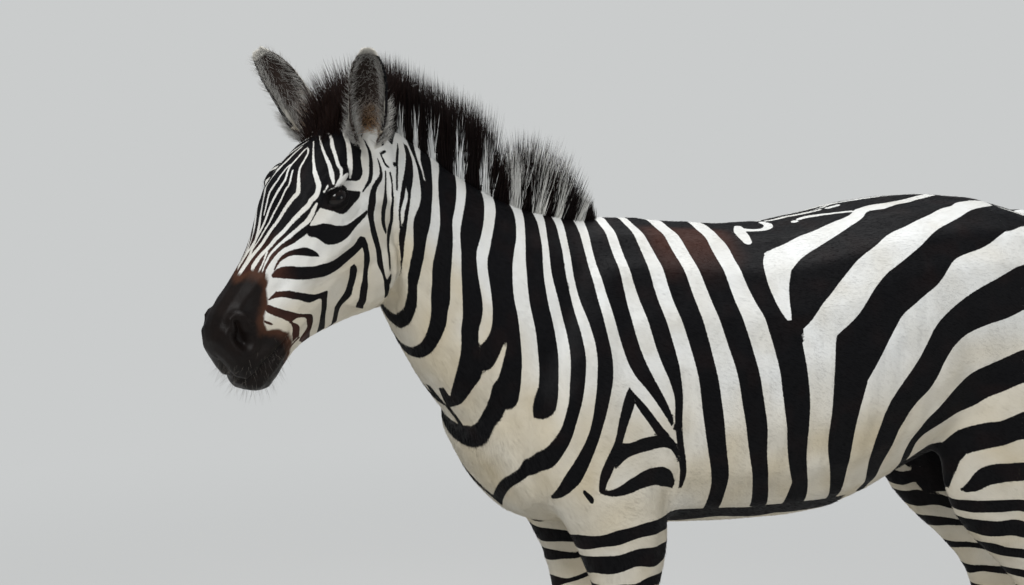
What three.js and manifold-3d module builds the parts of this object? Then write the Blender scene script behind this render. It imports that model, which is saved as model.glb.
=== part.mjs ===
// A plains zebra (Equus quagga) standing square with its head turned a little to its left.
// Millimetres, +Z up. The animal faces -X and its left side is towards -Y.
// The body is built straight, as lofted forms out to the tips of the coat, then the neck is
// bent sideways, the forms are joined into one body and that body is parted by thin cuts.

import * as THREE from 'three';
import { mergeVertices } from 'three/addons/utils/BufferGeometryUtils.js';
import Module from 'manifold-3d';

const wasm = await Module();
wasm.setup();

// ---------------------------------------------------------------- driving dimensions

const GAP = 0.4;                 // clearance left by every cut between two pieces
const LEFT = -1;                 // side signs along Y
const RIGHT = 1;
const UP = new THREE.Vector3(0, 0, 1);

const NECK_TURN = THREE.MathUtils.degToRad(25);   // how far the head is turned to the left
const TURN_START_X = -460;       // the sideways bend starts at the withers ...
const TURN_END_X = -800;         // ... and ends behind the jaw
const TURN_RADIUS = (TURN_START_X - TURN_END_X) / NECK_TURN;

const EYE_CENTRE = [-1004, 70, 1373];
const EYE_RADIUS = 21;
const EAR_BASE = [-920, 61, 1464];
const EAR_LENGTH = 181;
// Each ear's lean outwards and forwards and the way its opening faces, outwards from straight
// ahead, in degrees. Both are pricked towards the animal's left.
const EAR_POSE = {
  [LEFT]: { out: 19, forward: 18, facing: 42 },
  [RIGHT]: { out: 31, forward: 22, facing: -33 },
};
// Along the ear: radius of the cup, half angle that it wraps, wall thickness, setback
const EAR = [
  [27, 160, 9, 0],
  [31, 148, 8, 0],
  [31, 120, 7, 1],
  [31, 98, 6, 2],
  [32, 84, 5, 2],
  [32, 75, 5, 0],
  [30, 69, 4.5, -4],
  [24, 64, 4, -9],
  [12, 60, 3.5, -14],
];

const HOOF_HEIGHT = 66;
const KNEE_CUT_Z = 398;
const HOCK_CUT_Z = 462;
const TAIL_TUFT_TOP_Z = 880;

// The cut where each leg leaves the trunk: a point beside the middle plane, in the armpit or
// groin, and how steeply the cut rises outwards from it.
const LEG_CUT = {
  fore: { x: -400, y: 62, z: 742, slope: 0.75, jointZ: KNEE_CUT_Z },
  hind: { x: 400, y: 40, z: 800, slope: 1.0, jointZ: HOCK_CUT_Z },
};
const TAIL_CUT = { x: 612, z: 1180, slope: -1.25 };
// Neck cuts, each through a point of the crest and a point of the underline: x, z, x, z
const SHOULDER_CUT = [-440, 1296, -700, 1000];
const POLL_CUT = [-878, 1512, -822, 1160];

const BELLY_ROUNDNESS = 2.15;

// Rings along and facets around each kind of form
const DETAIL = {
  trunk: [20, 18],
  neck: [11, 18],
  head: [17, 18],
  leg: [24, 12],
  hoof: 16,
  tail: [20, 8],
  ear: [10, 14],
  mane: [20, 8],
  forelock: [8, 8],
  eye: 12,
  form: 10,
};

// ---------------------------------------------------------------- materials

const finish = (color, roughness) => new THREE.MeshStandardMaterial({ color, roughness, metalness: 0 });
const COAT = 0xd9d2c4;
const MUZZLE = 0x8d857c;
const DARK_HAIR = 0x2a221e;
const HORN = 0x3a332d;
const EYE = 0x140d0a;

// ---------------------------------------------------------------- section tables
// Trunk, vertical sections from the breast to the buttocks:
// x, top, bottom, half width, level of the widest point (0 bottom, 1 top), roundness of the back
const TRUNK = [
  [-656, 1000, 915, 58, 0.5, 2.0],
  [-636, 1045, 862, 112, 0.48, 2.0],
  [-600, 1110, 800, 146, 0.45, 2.0],
  [-560, 1180, 758, 167, 0.43, 1.9],
  [-510, 1243, 740, 182, 0.43, 1.8],
  [-450, 1284, 730, 192, 0.45, 1.7],
  [-390, 1293, 727, 199, 0.46, 1.65],
  [-300, 1284, 722, 214, 0.48, 1.8],
  [-200, 1272, 716, 230, 0.48, 1.9],
  [-100, 1267, 716, 242, 0.48, 2.0],
  [0, 1275, 719, 246, 0.49, 2.1],
  [80, 1291, 736, 242, 0.5, 2.2],
  [160, 1301, 774, 235, 0.5, 2.3],
  [250, 1305, 812, 226, 0.5, 2.35],
  [350, 1297, 850, 216, 0.5, 2.35],
  [440, 1274, 885, 202, 0.5, 2.3],
  [520, 1236, 905, 184, 0.5, 2.25],
  [585, 1188, 915, 164, 0.5, 2.2],
  [630, 1130, 940, 132, 0.5, 2.2],
  [654, 1080, 985, 84, 0.5, 2.1],
];

// Neck and head, sections across the axis:
// top x, top z, bottom x, bottom z, half width, level of the widest point, ridge, keel roundness
const NECK = [
  [-905, 1500, -830, 1200, 58, 0.5, 2.2, 2.2],
  [-850, 1492, -812, 1154, 70, 0.46, 1.9, 2.3],
  [-800, 1470, -794, 1118, 76, 0.44, 1.7, 2.3],
  [-745, 1439, -772, 1081, 83, 0.42, 1.6, 2.3],
  [-693, 1402, -748, 1045, 92, 0.42, 1.6, 2.3],
  [-635, 1367, -724, 1010, 105, 0.42, 1.6, 2.3],
  [-570, 1333, -697, 975, 124, 0.42, 1.6, 2.2],
  [-500, 1309, -664, 935, 146, 0.42, 1.6, 2.1],
  [-420, 1292, -620, 880, 166, 0.42, 1.6, 2.0],
  [-340, 1270, -550, 830, 172, 0.42, 1.7, 2.0],
];
const HEAD = [
  [-876, 1480, -822, 1215, 44, 0.55, 2.0, 2.0],
  [-905, 1508, -832, 1172, 60, 0.58, 2.2, 2.0],
  [-950, 1493, -856, 1160, 73, 0.6, 2.4, 1.9],
  [-996, 1463, -892, 1156, 83, 0.64, 2.2, 1.8],
  [-1036, 1431, -930, 1149, 84, 0.68, 2.15, 1.7],
  [-1065, 1398, -963, 1141, 81, 0.67, 2.1, 1.7],
  [-1083, 1360, -996, 1133, 73, 0.62, 2.1, 1.8],
  [-1102, 1320, -1024, 1125, 65, 0.57, 2.1, 1.9],
  [-1124, 1289, -1046, 1114, 56, 0.53, 2.2, 2.0],
  [-1147, 1263, -1063, 1100, 51, 0.5, 2.3, 2.1],
  [-1173, 1235, -1078, 1085, 48, 0.5, 2.3, 2.2],
  [-1198, 1208, -1096, 1067, 50, 0.52, 2.3, 2.3],
  [-1214, 1183, -1120, 1057, 48, 0.54, 2.3, 2.3],
  [-1218, 1158, -1146, 1058, 40, 0.54, 2.2, 2.2],
  [-1209, 1130, -1172, 1078, 20, 0.5, 2.0, 2.0],
];

// Rounded forms that stand out from the head: centre x, y, z, radii x, y, z, pitch in degrees
const HEAD_FORMS = [
  [-912, 42, 1246, 80, 26, 76, 20],      // cheek, over the jaw's hinge end
  [-1006, 69, 1402, 38, 20, 14, 35],     // brow above the eye
  [-1179, 30, 1172, 24, 20, 32, 40],     // nostril wing
];

// Legs, level sections upwards: z, front x, back x, side offset, half width
const FORELEG = [
  [HOOF_HEIGHT + GAP, -425, -346, 110, 38],
  [112, -413, -356, 111, 28],
  [155, -411, -342, 112, 31],
  [192, -409, -346, 112, 27],
  [245, -407, -352, 112, 22.5],
  [305, -407, -353, 112, 22.5],
  [350, -411, -350, 113, 29],
  [388, -421, -348, 114, 36.5],
  [422, -421, -346, 114, 36.5],
  [458, -417, -345, 115, 33],
  [505, -419, -341, 116, 34],
  [575, -427, -328, 119, 42],
  [640, -443, -311, 122, 50],
  [700, -470, -301, 125, 58],
  [750, -503, -297, 127, 65],
  [810, -548, -296, 129, 71],
  [880, -590, -297, 131, 74],
  [955, -612, -300, 132, 73],
  [1035, -592, -305, 128, 68],
  [1115, -552, -314, 116, 55],
  [1190, -508, -330, 94, 37],
  [1235, -470, -352, 60, 24],
];
const HINDLEG = [
  [HOOF_HEIGHT + GAP, 434, 512, 98, 37],
  [115, 454, 509, 98, 27],
  [168, 464, 535, 99, 31],
  [205, 470, 532, 100, 26],
  [262, 472, 527, 101, 22.5],
  [340, 472, 527, 102, 22.5],
  [396, 469, 535, 103, 28],
  [440, 465, 549, 104, 34],
  [480, 458, 563, 106, 35],
  [517, 448, 568, 108, 31],
  [550, 432, 552, 110, 30],
  [595, 398, 535, 114, 36],
  [650, 335, 538, 122, 47],
  [700, 290, 552, 130, 58],
  [745, 262, 570, 136, 67],
  [800, 244, 595, 140, 77],
  [880, 230, 628, 141, 85],
  [960, 230, 648, 139, 88],
  [1040, 242, 656, 135, 86],
  [1120, 268, 644, 126, 79],
  [1195, 305, 600, 106, 62],
  [1255, 345, 530, 60, 34],
];
// Hooves: z, front x, back x, half width
const FORE_HOOF = [
  [0, -456, -348, 48],
  [8, -455, -347, 48],
  [HOOF_HEIGHT - 8, -428, -345, 40],
  [HOOF_HEIGHT, -424, -347, 38],
];
const HIND_HOOF = [
  [0, 402, 508, 45],
  [8, 404, 509, 45],
  [HOOF_HEIGHT - 8, 431, 513, 39],
  [HOOF_HEIGHT, 435, 511, 37],
];

// Mane along the crest: foot x, foot z, tip x, tip z, half width of the brush
const MANE = [
  [-392, 1278, -396, 1310, 10],
  [-440, 1282, -425, 1362, 16],
  [-480, 1292, -462, 1418, 19],
  [-545, 1306, -540, 1464, 20],
  [-609, 1338, -615, 1500, 20],
  [-670, 1371, -682, 1534, 20],
  [-730, 1410, -752, 1562, 20],
  [-790, 1445, -806, 1592, 20],
  [-850, 1468, -866, 1602, 20],
];
const FORELOCK = [
  [-852, 1468, -869, 1602, 20],
  [-890, 1480, -905, 1598, 22],
  [-925, 1476, -940, 1580, 24],
  [-958, 1462, -968, 1545, 22],
  [-985, 1445, -990, 1492, 12],
];

// Tail, sections along the hanging dock and its tuft: x, z, half depth, half width
const TAIL = [
  [545, 1196, 24, 30],
  [600, 1180, 27, 33],
  [645, 1150, 27, 30],
  [676, 1100, 24, 26],
  [690, 1030, 21, 23],
  [694, 950, 19, 21],
  [695, TAIL_TUFT_TOP_Z, 19, 21],
  [694, 800, 27, 30],
  [691, 710, 33, 37],
  [689, 630, 29, 33],
  [690, 560, 17, 20],
  [692, 525, 5, 6],
];

// ---------------------------------------------------------------- shape helpers

const signedPower = (value, power) => Math.sign(value) * Math.abs(value) ** power;

// Smooth blend through a table's rows, t from 0 to 1.
function readTable(rows, t) {
  const place = t * (rows.length - 1);
  const i = Math.min(Math.floor(place), rows.length - 2);
  const f = place - i;
  const before = rows[Math.max(i - 1, 0)];
  const after = rows[Math.min(i + 2, rows.length - 1)];
  return rows[i].map((a, k) => {
    const b = rows[i + 1][k];
    const slopeA = (b - before[k]) / 2;
    const slopeB = (after[k] - a) / 2;
    const f2 = f * f;
    const f3 = f2 * f;
    return (2 * f3 - 3 * f2 + 1) * a + (f3 - 2 * f2 + f) * slopeA
      + (3 * f2 - 2 * f3) * b + (f3 - f2) * slopeB;
  });
}

// Turns a straight-standing point with the neck's sideways bend.
function bendPoint(x, y, z) {
  if (x >= TURN_START_X) return [x, y, z];
  const turn = Math.min((TURN_START_X - x) / TURN_RADIUS, NECK_TURN);
  const beyond = Math.max(TURN_END_X - x, 0);
  const axisX = TURN_START_X - TURN_RADIUS * Math.sin(turn) - beyond * Math.cos(turn);
  const axisY = -TURN_RADIUS * (1 - Math.cos(turn)) - beyond * Math.sin(turn);
  return [axisX - y * Math.sin(turn), axisY + y * Math.cos(turn), z];
}

function bendGeometry(geometry) {
  const position = geometry.getAttribute('position');
  for (let i = 0; i < position.count; i++) {
    position.setXYZ(i, ...bendPoint(position.getX(i), position.getY(i), position.getZ(i)));
  }
  return geometry;
}

function toSolid(geometry) {
  const bare = new THREE.BufferGeometry();
  bare.setAttribute('position', geometry.getAttribute('position').clone());
  bare.setIndex(geometry.getIndex());
  const merged = mergeVertices(bare, 1e-3);
  const vertProperties = Float32Array.from(merged.getAttribute('position').array);
  const triVerts = Uint32Array.from(merged.getIndex().array);
  return new wasm.Manifold(new wasm.Mesh({ numProp: 3, vertProperties, triVerts }));
}

function toGeometry(solid) {
  const { vertProperties, triVerts, numProp } = solid.getMesh();
  const position = new Float32Array((vertProperties.length / numProp) * 3);
  for (let i = 0; i < position.length / 3; i++) {
    for (let k = 0; k < 3; k++) position[3 * i + k] = vertProperties[numProp * i + k];
  }
  const geometry = new THREE.BufferGeometry();
  geometry.setAttribute('position', new THREE.BufferAttribute(position, 3));
  geometry.setIndex(new THREE.BufferAttribute(Uint32Array.from(triVerts), 1));
  return geometry;
}

// Closed skin over rings of points. ring(t) gives a function of the angle. Each end is closed by
// a strip between the ring's two halves, which also suits a crescent.
function loft(rings, sides, ring) {
  const points = [];
  const index = [];
  for (let r = 0; r <= rings; r++) {
    const around = ring(r / rings);
    for (let s = 0; s < sides; s++) points.push(...around((s / sides) * 2 * Math.PI));
  }
  for (let r = 0; r < rings; r++) {
    for (let s = 0; s < sides; s++) {
      const a = r * sides + s;
      const b = r * sides + ((s + 1) % sides);
      index.push(a, b, b + sides, a, b + sides, a + sides);
    }
  }
  const last = rings * sides;
  for (let s = 0; s < sides / 2 - 1; s++) {
    const [a, b, c, d] = [s, s + 1, sides - 2 - s, sides - 1 - s];
    index.push(a, c, b, a, d, c);
    index.push(last + a, last + b, last + c, last + a, last + c, last + d);
  }
  const geometry = new THREE.BufferGeometry();
  geometry.setAttribute('position', new THREE.Float32BufferAttribute(points, 3));
  geometry.setIndex(index);
  return makeOutward(geometry);
}

// Swaps the winding of a closed mesh whose signed volume is negative.
function makeOutward(geometry) {
  const p = geometry.getAttribute('position');
  const index = geometry.getIndex().array;
  const [a, b, c] = [new THREE.Vector3(), new THREE.Vector3(), new THREE.Vector3()];
  let volume = 0;
  for (let i = 0; i < index.length; i += 3) {
    a.fromBufferAttribute(p, index[i]);
    b.fromBufferAttribute(p, index[i + 1]);
    c.fromBufferAttribute(p, index[i + 2]);
    volume += a.dot(b.cross(c));
  }
  if (volume < 0) {
    for (let i = 0; i < index.length; i += 3) [index[i], index[i + 1]] = [index[i + 1], index[i]];
  }
  return geometry;
}

// Body section between a top and a bottom point, egg-shaped, with its widest point at a level.
function bodyRing([topX, topZ, lowX, lowZ, half, level, ridge, keel], grow) {
  const top = new THREE.Vector2(topX, topZ);
  const low = new THREE.Vector2(lowX, lowZ);
  const up = top.clone().sub(low).normalize();
  top.addScaledVector(up, grow);
  low.addScaledVector(up, -grow);
  const middle = low.clone().lerp(top, level);
  const rise = top.distanceTo(middle);
  const drop = middle.distanceTo(low);
  return (angle) => {
    const c = Math.cos(angle);
    const power = 2 / (c > 0 ? ridge : keel);
    const along = (c > 0 ? rise : drop) * signedPower(c, power);
    const side = (half + grow) * signedPower(Math.sin(angle), power);
    return [middle.x + up.x * along, side, middle.y + up.y * along];
  };
}

// Level section of a leg or hoof between a front and a back x.
function levelRing([z, front, back, offset, half], side, grow) {
  const centre = (front + back) / 2;
  const reach = (back - front) / 2 + grow;
  return (angle) => [
    centre - reach * Math.cos(angle),
    side * offset + (half + grow) * Math.sin(angle),
    z,
  ];
}

const bodyLoft = (rows, [rings, sides], grow = 0) => bendGeometry(
  loft(rings, sides, (t) => bodyRing(readTable(rows, t), grow)));

const legLoft = (rows, side, grow) => bendGeometry(
  loft(...DETAIL.leg, (t) => levelRing(readTable(rows, t), side, grow)));

function ellipsoid([x, y, z, rx, ry, rz, pitch], side, sides) {
  const ball = new THREE.SphereGeometry(1, sides, Math.round(sides * 0.7));
  ball.scale(rx, ry, rz);
  ball.rotateY(-THREE.MathUtils.degToRad(pitch));
  ball.translate(x, side * y, z);
  return toSolid(bendGeometry(ball));
}

// A large block that fills the space below a plane, on the side away from its normal.
function blockBelow(through, normal) {
  const reach = 3000;
  const block = new THREE.BoxGeometry(reach, reach, reach);
  block.translate(0, 0, -reach / 2);
  block.applyQuaternion(new THREE.Quaternion().setFromUnitVectors(UP, normal));
  block.translate(through.x, through.y, through.z);
  return toSolid(block);
}

// Cuts a solid by a plane into the part below it and the part above, a gap apart.
function part(solid, through, normal) {
  const lifted = through.clone().addScaledVector(normal, GAP);
  return {
    below: solid.intersect(blockBelow(through, normal)),
    above: solid.subtract(blockBelow(lifted, normal)),
  };
}

// Cuts a form and its grown copy by one plane. The clearance is what a neighbour gives up.
function partWithClearance(makeSolid, through, normal) {
  const { below, above } = part(makeSolid(0), through, normal);
  const lifted = through.clone().addScaledVector(normal, GAP);
  return { below, above, clearance: part(makeSolid(GAP), lifted, normal).below };
}

const joinAll = (solids) => solids.reduce((sum, solid) => sum.add(solid));
const cutAll = (solid, cutters) => cutters.reduce((rest, cutter) => rest.subtract(cutter), solid);

// ---------------------------------------------------------------- legs

function makeLeg(rows, end, side) {
  const { x, y, z, slope, jointZ } = LEG_CUT[end];
  const through = new THREE.Vector3(x, side * y, z);
  const normal = new THREE.Vector3(0, -side * slope, 1).normalize();
  const leg = partWithClearance((grow) => toSolid(legLoft(rows, side, grow)), through, normal);
  const limb = part(leg.below, new THREE.Vector3(0, 0, jointZ), UP);
  return { muscle: leg.above, upper: limb.above, lower: limb.below, clearance: leg.clearance };
}

function makeHoof(rows, end, side) {
  const offset = end === 'fore' ? FORELEG[0][3] : HINDLEG[0][3];
  const full = rows.map(([z, front, back, half]) => [z, front, back, offset, half]);
  const rings = full.length - 1;
  return toSolid(loft(rings, DETAIL.hoof, (t) => levelRing(full[Math.round(t * rings)], side, 0)));
}

// ---------------------------------------------------------------- head fittings

// A cupped leaf: the section is an arc with a wall, a rolled tube at the foot and open above.
function makeEar(side) {
  const [rings, sides] = DETAIL.ear;
  const arcPoints = sides / 2;
  const ear = loft(rings, sides, (t) => {
    const [radius, wrap, wall, setback] = readTable(EAR, t);
    const half = THREE.MathUtils.degToRad(wrap);
    return (angle) => {
      const step = Math.round((angle / (2 * Math.PI)) * sides);
      const outer = step < arcPoints;
      const along = outer ? step / (arcPoints - 1) : (sides - 1 - step) / (arcPoints - 1);
      const turn = half * (2 * along - 1);
      const reach = radius + (outer ? wall / 2 : -wall / 2);
      return [reach * Math.cos(turn) - radius * 0.3 + setback, reach * Math.sin(turn), EAR_LENGTH * t];
    };
  });
  const { out, forward, facing } = EAR_POSE[side];
  ear.rotateZ(-side * THREE.MathUtils.degToRad(facing));
  ear.rotateX(-side * THREE.MathUtils.degToRad(out));
  ear.rotateY(-THREE.MathUtils.degToRad(forward));
  ear.translate(EAR_BASE[0], side * EAR_BASE[1], EAR_BASE[2]);
  return ear;
}

// A brush of upright hair, widest near its foot and rounded off at the tips.
function makeHairBrush(rows, detail) {
  const [footLevel, tipRoundness, footRoundness] = [0.15, 1.5, 2.0];
  const upright = rows.map(([footX, footZ, tipX, tipZ, half]) =>
    [tipX, tipZ, footX, footZ, half, footLevel, tipRoundness, footRoundness]);
  return toSolid(bodyLoft(upright, detail));
}

// The tail's section, square to the way it hangs there.
function tailRing([x, z, depth, half], direction, grow) {
  return (angle) => {
    const out = (depth + grow) * Math.cos(angle);
    return [x + out * direction.y, (half + grow) * Math.sin(angle), z - out * direction.x];
  };
}

function tailLoft(grow) {
  const nudge = 0.01;
  return toSolid(loft(...DETAIL.tail, (t) => {
    const [x0, z0] = readTable(TAIL, Math.max(t - nudge, 0));
    const [x1, z1] = readTable(TAIL, Math.min(t + nudge, 1));
    return tailRing(readTable(TAIL, t), new THREE.Vector2(x1 - x0, z1 - z0).normalize(), grow);
  }));
}

// ---------------------------------------------------------------- the whole body

const solids = {};
const legs = [];
for (const [end, rows, hoofRows] of [['fore', FORELEG, FORE_HOOF], ['hind', HINDLEG, HIND_HOOF]]) {
  for (const [name, side] of [['left', LEFT], ['right', RIGHT]]) {
    const leg = makeLeg(rows, end, side);
    legs.push(leg);
    solids[`${end}leg_upper_${name}`] = leg.upper;
    solids[`${end}leg_lower_${name}`] = leg.lower;
    solids[`${end}_hoof_${name}`] = makeHoof(hoofRows, end, side);
  }
}

const tail = partWithClearance(tailLoft, new THREE.Vector3(TAIL_CUT.x, 0, TAIL_CUT.z),
  new THREE.Vector3(TAIL_CUT.slope, 0, 1).normalize());
const tailParts = part(tail.below, new THREE.Vector3(0, 0, TAIL_TUFT_TOP_Z), UP);
solids.tail_dock = tailParts.above;
solids.tail_tuft = tailParts.below;

const sockets = [];
for (const [name, side] of [['left', LEFT], ['right', RIGHT]]) {
  const ball = (radius) => ellipsoid([...EYE_CENTRE, radius, radius, radius, 0], side, DETAIL.eye);
  solids[`eye_${name}`] = ball(EYE_RADIUS);
  sockets.push(ball(EYE_RADIUS + GAP));
}

const trunkSections = TRUNK.map(([x, top, low, half, level, ridge]) =>
  [x, top, x, low, half, level, ridge, BELLY_ROUNDNESS]);
const mainForms = (grow) => [
  toSolid(bodyLoft(trunkSections, DETAIL.trunk, grow)),
  toSolid(bodyLoft(NECK, DETAIL.neck, grow)),
  toSolid(bodyLoft(HEAD, DETAIL.head, grow)),
];
const headForms = HEAD_FORMS.flatMap((form) =>
  [LEFT, RIGHT].map((side) => ellipsoid(form, side, DETAIL.form)));
const flesh = cutAll(
  joinAll([...mainForms(0), ...headForms, ...legs.map((leg) => leg.muscle), tail.above]),
  [...legs.map((leg) => leg.clearance), tail.clearance, ...sockets]);

// Planes across the neck, set square to the bend where they cut.
function neckPlane(topX, topZ, lowX, lowZ) {
  const top = new THREE.Vector3(...bendPoint(topX, 0, topZ));
  const low = new THREE.Vector3(...bendPoint(lowX, 0, lowZ));
  const middleX = (topX + lowX) / 2;
  const across = new THREE.Vector3(...bendPoint(middleX, 1, 0))
    .sub(new THREE.Vector3(...bendPoint(middleX, 0, 0)));
  const forward = across.cross(low.clone().sub(top)).normalize();
  if (forward.x > 0) forward.negate();
  return { through: top, normal: forward };
}
const shoulderCut = neckPlane(...SHOULDER_CUT);
const pollCut = neckPlane(...POLL_CUT);
const atShoulder = part(flesh, shoulderCut.through, shoulderCut.normal);
const atPoll = part(atShoulder.above, pollCut.through, pollCut.normal);
solids.trunk = atShoulder.below;
solids.neck = atPoll.below;
solids.head = atPoll.above;

// Ears and hair stand on the flesh and are cut by a slightly grown copy of it.
const grownFlesh = joinAll(mainForms(GAP));
for (const [name, side] of [['left', LEFT], ['right', RIGHT]]) {
  solids[`ear_${name}`] = toSolid(bendGeometry(makeEar(side))).subtract(grownFlesh);
}
solids.mane = makeHairBrush(MANE, DETAIL.mane).subtract(grownFlesh);
solids.forelock = makeHairBrush(FORELOCK, DETAIL.forelock).subtract(grownFlesh);

// ---------------------------------------------------------------- the group

const looks = {
  eye: finish(EYE, 0.12),
  ear: finish(COAT, 0.85),
  mane: finish(DARK_HAIR, 0.8),
  forelock: finish(DARK_HAIR, 0.8),
  tail_tuft: finish(DARK_HAIR, 0.8),
  hoof: finish(HORN, 0.5),
  head: finish(MUZZLE, 0.8),
  coat: finish(COAT, 0.8),
};
const lookOf = (name) => looks[Object.keys(looks).find((key) => name.includes(key)) ?? 'coat'];

const zebra = new THREE.Group();
for (const [name, solid] of Object.entries(solids)) {
  const mesh = new THREE.Mesh(toGeometry(solid), lookOf(name).clone());
  mesh.name = name;
  zebra.add(mesh);
}
const box = new THREE.Box3().setFromObject(zebra, true);
const middle = box.getCenter(new THREE.Vector3());
zebra.position.set(-middle.x, -middle.y, 0);
zebra.updateMatrixWorld(true);

export default zebra;
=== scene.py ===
"""Looks of a standing plains zebra, a life-size museum model: skin, coat, mane, tail, eyes and hooves."""

import math

import bmesh
import bpy
import numpy as np
from bpy.props import FloatProperty, FloatVectorProperty, IntProperty, PointerProperty
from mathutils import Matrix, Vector


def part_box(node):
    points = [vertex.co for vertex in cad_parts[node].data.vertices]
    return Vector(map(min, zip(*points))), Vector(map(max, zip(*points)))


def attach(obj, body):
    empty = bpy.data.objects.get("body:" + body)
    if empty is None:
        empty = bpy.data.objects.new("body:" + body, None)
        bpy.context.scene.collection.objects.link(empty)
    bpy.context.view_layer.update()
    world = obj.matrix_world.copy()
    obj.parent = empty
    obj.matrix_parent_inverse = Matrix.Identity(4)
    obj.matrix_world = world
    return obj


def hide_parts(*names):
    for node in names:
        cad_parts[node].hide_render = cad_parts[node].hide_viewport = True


bl_info = {
    "name": "Plains zebra",
    "version": (1, 0, 0),
    "blender": (4, 5, 0),
    "location": "View3D > Sidebar > Zebra",
    "description": "Skin, striped coat, mane, tail, eyes and hooves of a life-size zebra on its CAD frame",
    "category": "Object",
}

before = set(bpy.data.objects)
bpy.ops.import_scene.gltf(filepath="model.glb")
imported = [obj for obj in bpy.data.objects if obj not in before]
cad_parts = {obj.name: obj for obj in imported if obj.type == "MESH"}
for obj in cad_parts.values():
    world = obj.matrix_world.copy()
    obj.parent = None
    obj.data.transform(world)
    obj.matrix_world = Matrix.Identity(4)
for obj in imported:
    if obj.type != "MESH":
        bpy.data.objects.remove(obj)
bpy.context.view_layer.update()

NOT_FLESH = ("hoof", "eye", "mane", "forelock", "tail_tuft")
FLESH = [n for n in sorted(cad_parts) if not any(k in n for k in NOT_FLESH)]
HOOVES = [n for n in sorted(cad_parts) if "hoof" in n]
SIDES = ("left", "right")

# ---------------------------------------------------------------- the pose
# The animal is described facing -X with a straight neck, in millimetres, left side at -Y.
# Its neck then turns to its left by TURN between two stations of the spine.

BEND_START, BEND_END, TURN = -460.0, -800.0, math.radians(25.0)
BEND_R = (BEND_START - BEND_END) / TURN
EYE_X = -1004.0


def bend(p):
    """Straight-neck points in mm to points of the frame in metres."""
    p = np.asarray(p, float).reshape(-1, 3)
    t = np.clip((BEND_START - p[:, 0]) / BEND_R, 0, TURN)
    ahead = np.minimum(p[:, 0] - BEND_START, 0) + t * BEND_R
    back = np.maximum(p[:, 0] - BEND_START, 0)
    x = BEND_START - BEND_R * np.sin(t) + ahead * np.cos(t) + back - p[:, 1] * np.sin(t)
    y = -BEND_R * (1 - np.cos(t)) + ahead * np.sin(t) + p[:, 1] * np.cos(t)
    return np.column_stack([x, y, p[:, 2]]) / 1000 + SHIFT


def unbend(p):
    """Points of the frame in metres to straight-neck points in mm."""
    p = (np.asarray(p, float).reshape(-1, 3) - SHIFT) * 1000
    out = p.copy()
    dx, dy = p[:, 0] - BEND_START, p[:, 1] + BEND_R
    t = np.arctan2(-dx, dy)
    arc = (t > 0) & (t < TURN)
    out[arc, 0] = BEND_START - BEND_R * t[arc]
    out[arc, 1] = np.hypot(dx, dy)[arc] - BEND_R
    far = t >= TURN
    q = p[:, :2] - (BEND_START - BEND_R * math.sin(TURN), -BEND_R * (1 - math.cos(TURN)))
    out[far, 0] = BEND_END + q[far] @ (math.cos(TURN), math.sin(TURN))
    out[far, 1] = q[far] @ (-math.sin(TURN), math.cos(TURN))
    return out


def turn_vectors(v, x, back=False):
    """Directions of the straight neck at stations x, turned with the neck, or turned back."""
    t = np.clip((BEND_START - x) / BEND_R, 0, TURN) * (-1 if back else 1)
    c, s = np.cos(t), np.sin(t)
    return np.column_stack([v[:, 0] * c - v[:, 1] * s, v[:, 0] * s + v[:, 1] * c, v[:, 2]])


# SHIFT carries the described animal onto the frame, so that the middle between its eyes meets the frame's.
SHIFT = np.zeros(3)
EYES = {side: (np.array(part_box("eye_" + side)[0]) + np.array(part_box("eye_" + side)[1])) / 2 for side in SIDES}
EYE_RADIUS = (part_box("eye_left")[1].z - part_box("eye_left")[0].z) / 2
BETWEEN_EYES = (EYES["left"] + EYES["right"]) / 2
SHIFT = BETWEEN_EYES - bend([[EYE_X, 0, BETWEEN_EYES[2] * 1000]])[0]


def eye_frame(side):
    """The eye's centre, its gaze, the direction of its front corner and its up direction, in the frame."""
    at_eye = np.array([EYE_X])
    gaze = turn_vectors(np.array([[-0.30, -0.93 if side == "left" else 0.93, 0.16]]), at_eye)[0]
    gaze = gaze / np.linalg.norm(gaze)
    front = turn_vectors(np.array([[-0.94, 0.0, -0.34]]), at_eye)[0]
    front = front - gaze * (front @ gaze)
    front /= np.linalg.norm(front)
    up = np.cross(gaze, front) * (1 if side == "left" else -1)
    return EYES[side], gaze, front, up if up[2] > 0 else -up


EYE_FRAMES = {side: eye_frame(side) for side in SIDES}
LID_REACH = 61.0  # degrees from the middle of the eye's opening to its corners
SOCKET, BALD = 0.034, 0.036  # metres round an eye's centre where the hide follows its lids and where no coat grows


def lid_edges(across):
    """Heights in degrees of the upper and lower lid edge at angles across the eye, front corner positive."""
    t = np.clip(across / LID_REACH, -1, 1)
    upper = 30 * np.sqrt(np.maximum(1 - t * t, 0)) ** 1.1 * (1 - 0.10 * t) - 4 * t
    lower = -23 * np.sqrt(np.maximum(1 - t * t, 0)) ** 1.3 * (1 + 0.12 * t) - 4 * t
    return upper, lower


def eye_angles(co, side):
    """For points of the frame: degrees across and up from the gaze, metres from the eye's centre, and share ahead."""
    centre, gaze, front, up = EYE_FRAMES[side]
    q = co - centre
    r = np.maximum(np.linalg.norm(q, axis=1), 1e-9)
    ahead = q @ gaze / r
    across = np.degrees(np.arctan2(q @ front, q @ gaze))
    return across, np.degrees(np.arcsin(np.clip(q @ up / r, -1, 1))), r, ahead


# ---------------------------------------------------------------- maps of the hide
# Body map: station x along the spine and angle round an axis, 0 at the spine, 180 at the belly.
# Head map: distance s along the head from the poll and angle round its axis, 0 at the forehead.

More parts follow.
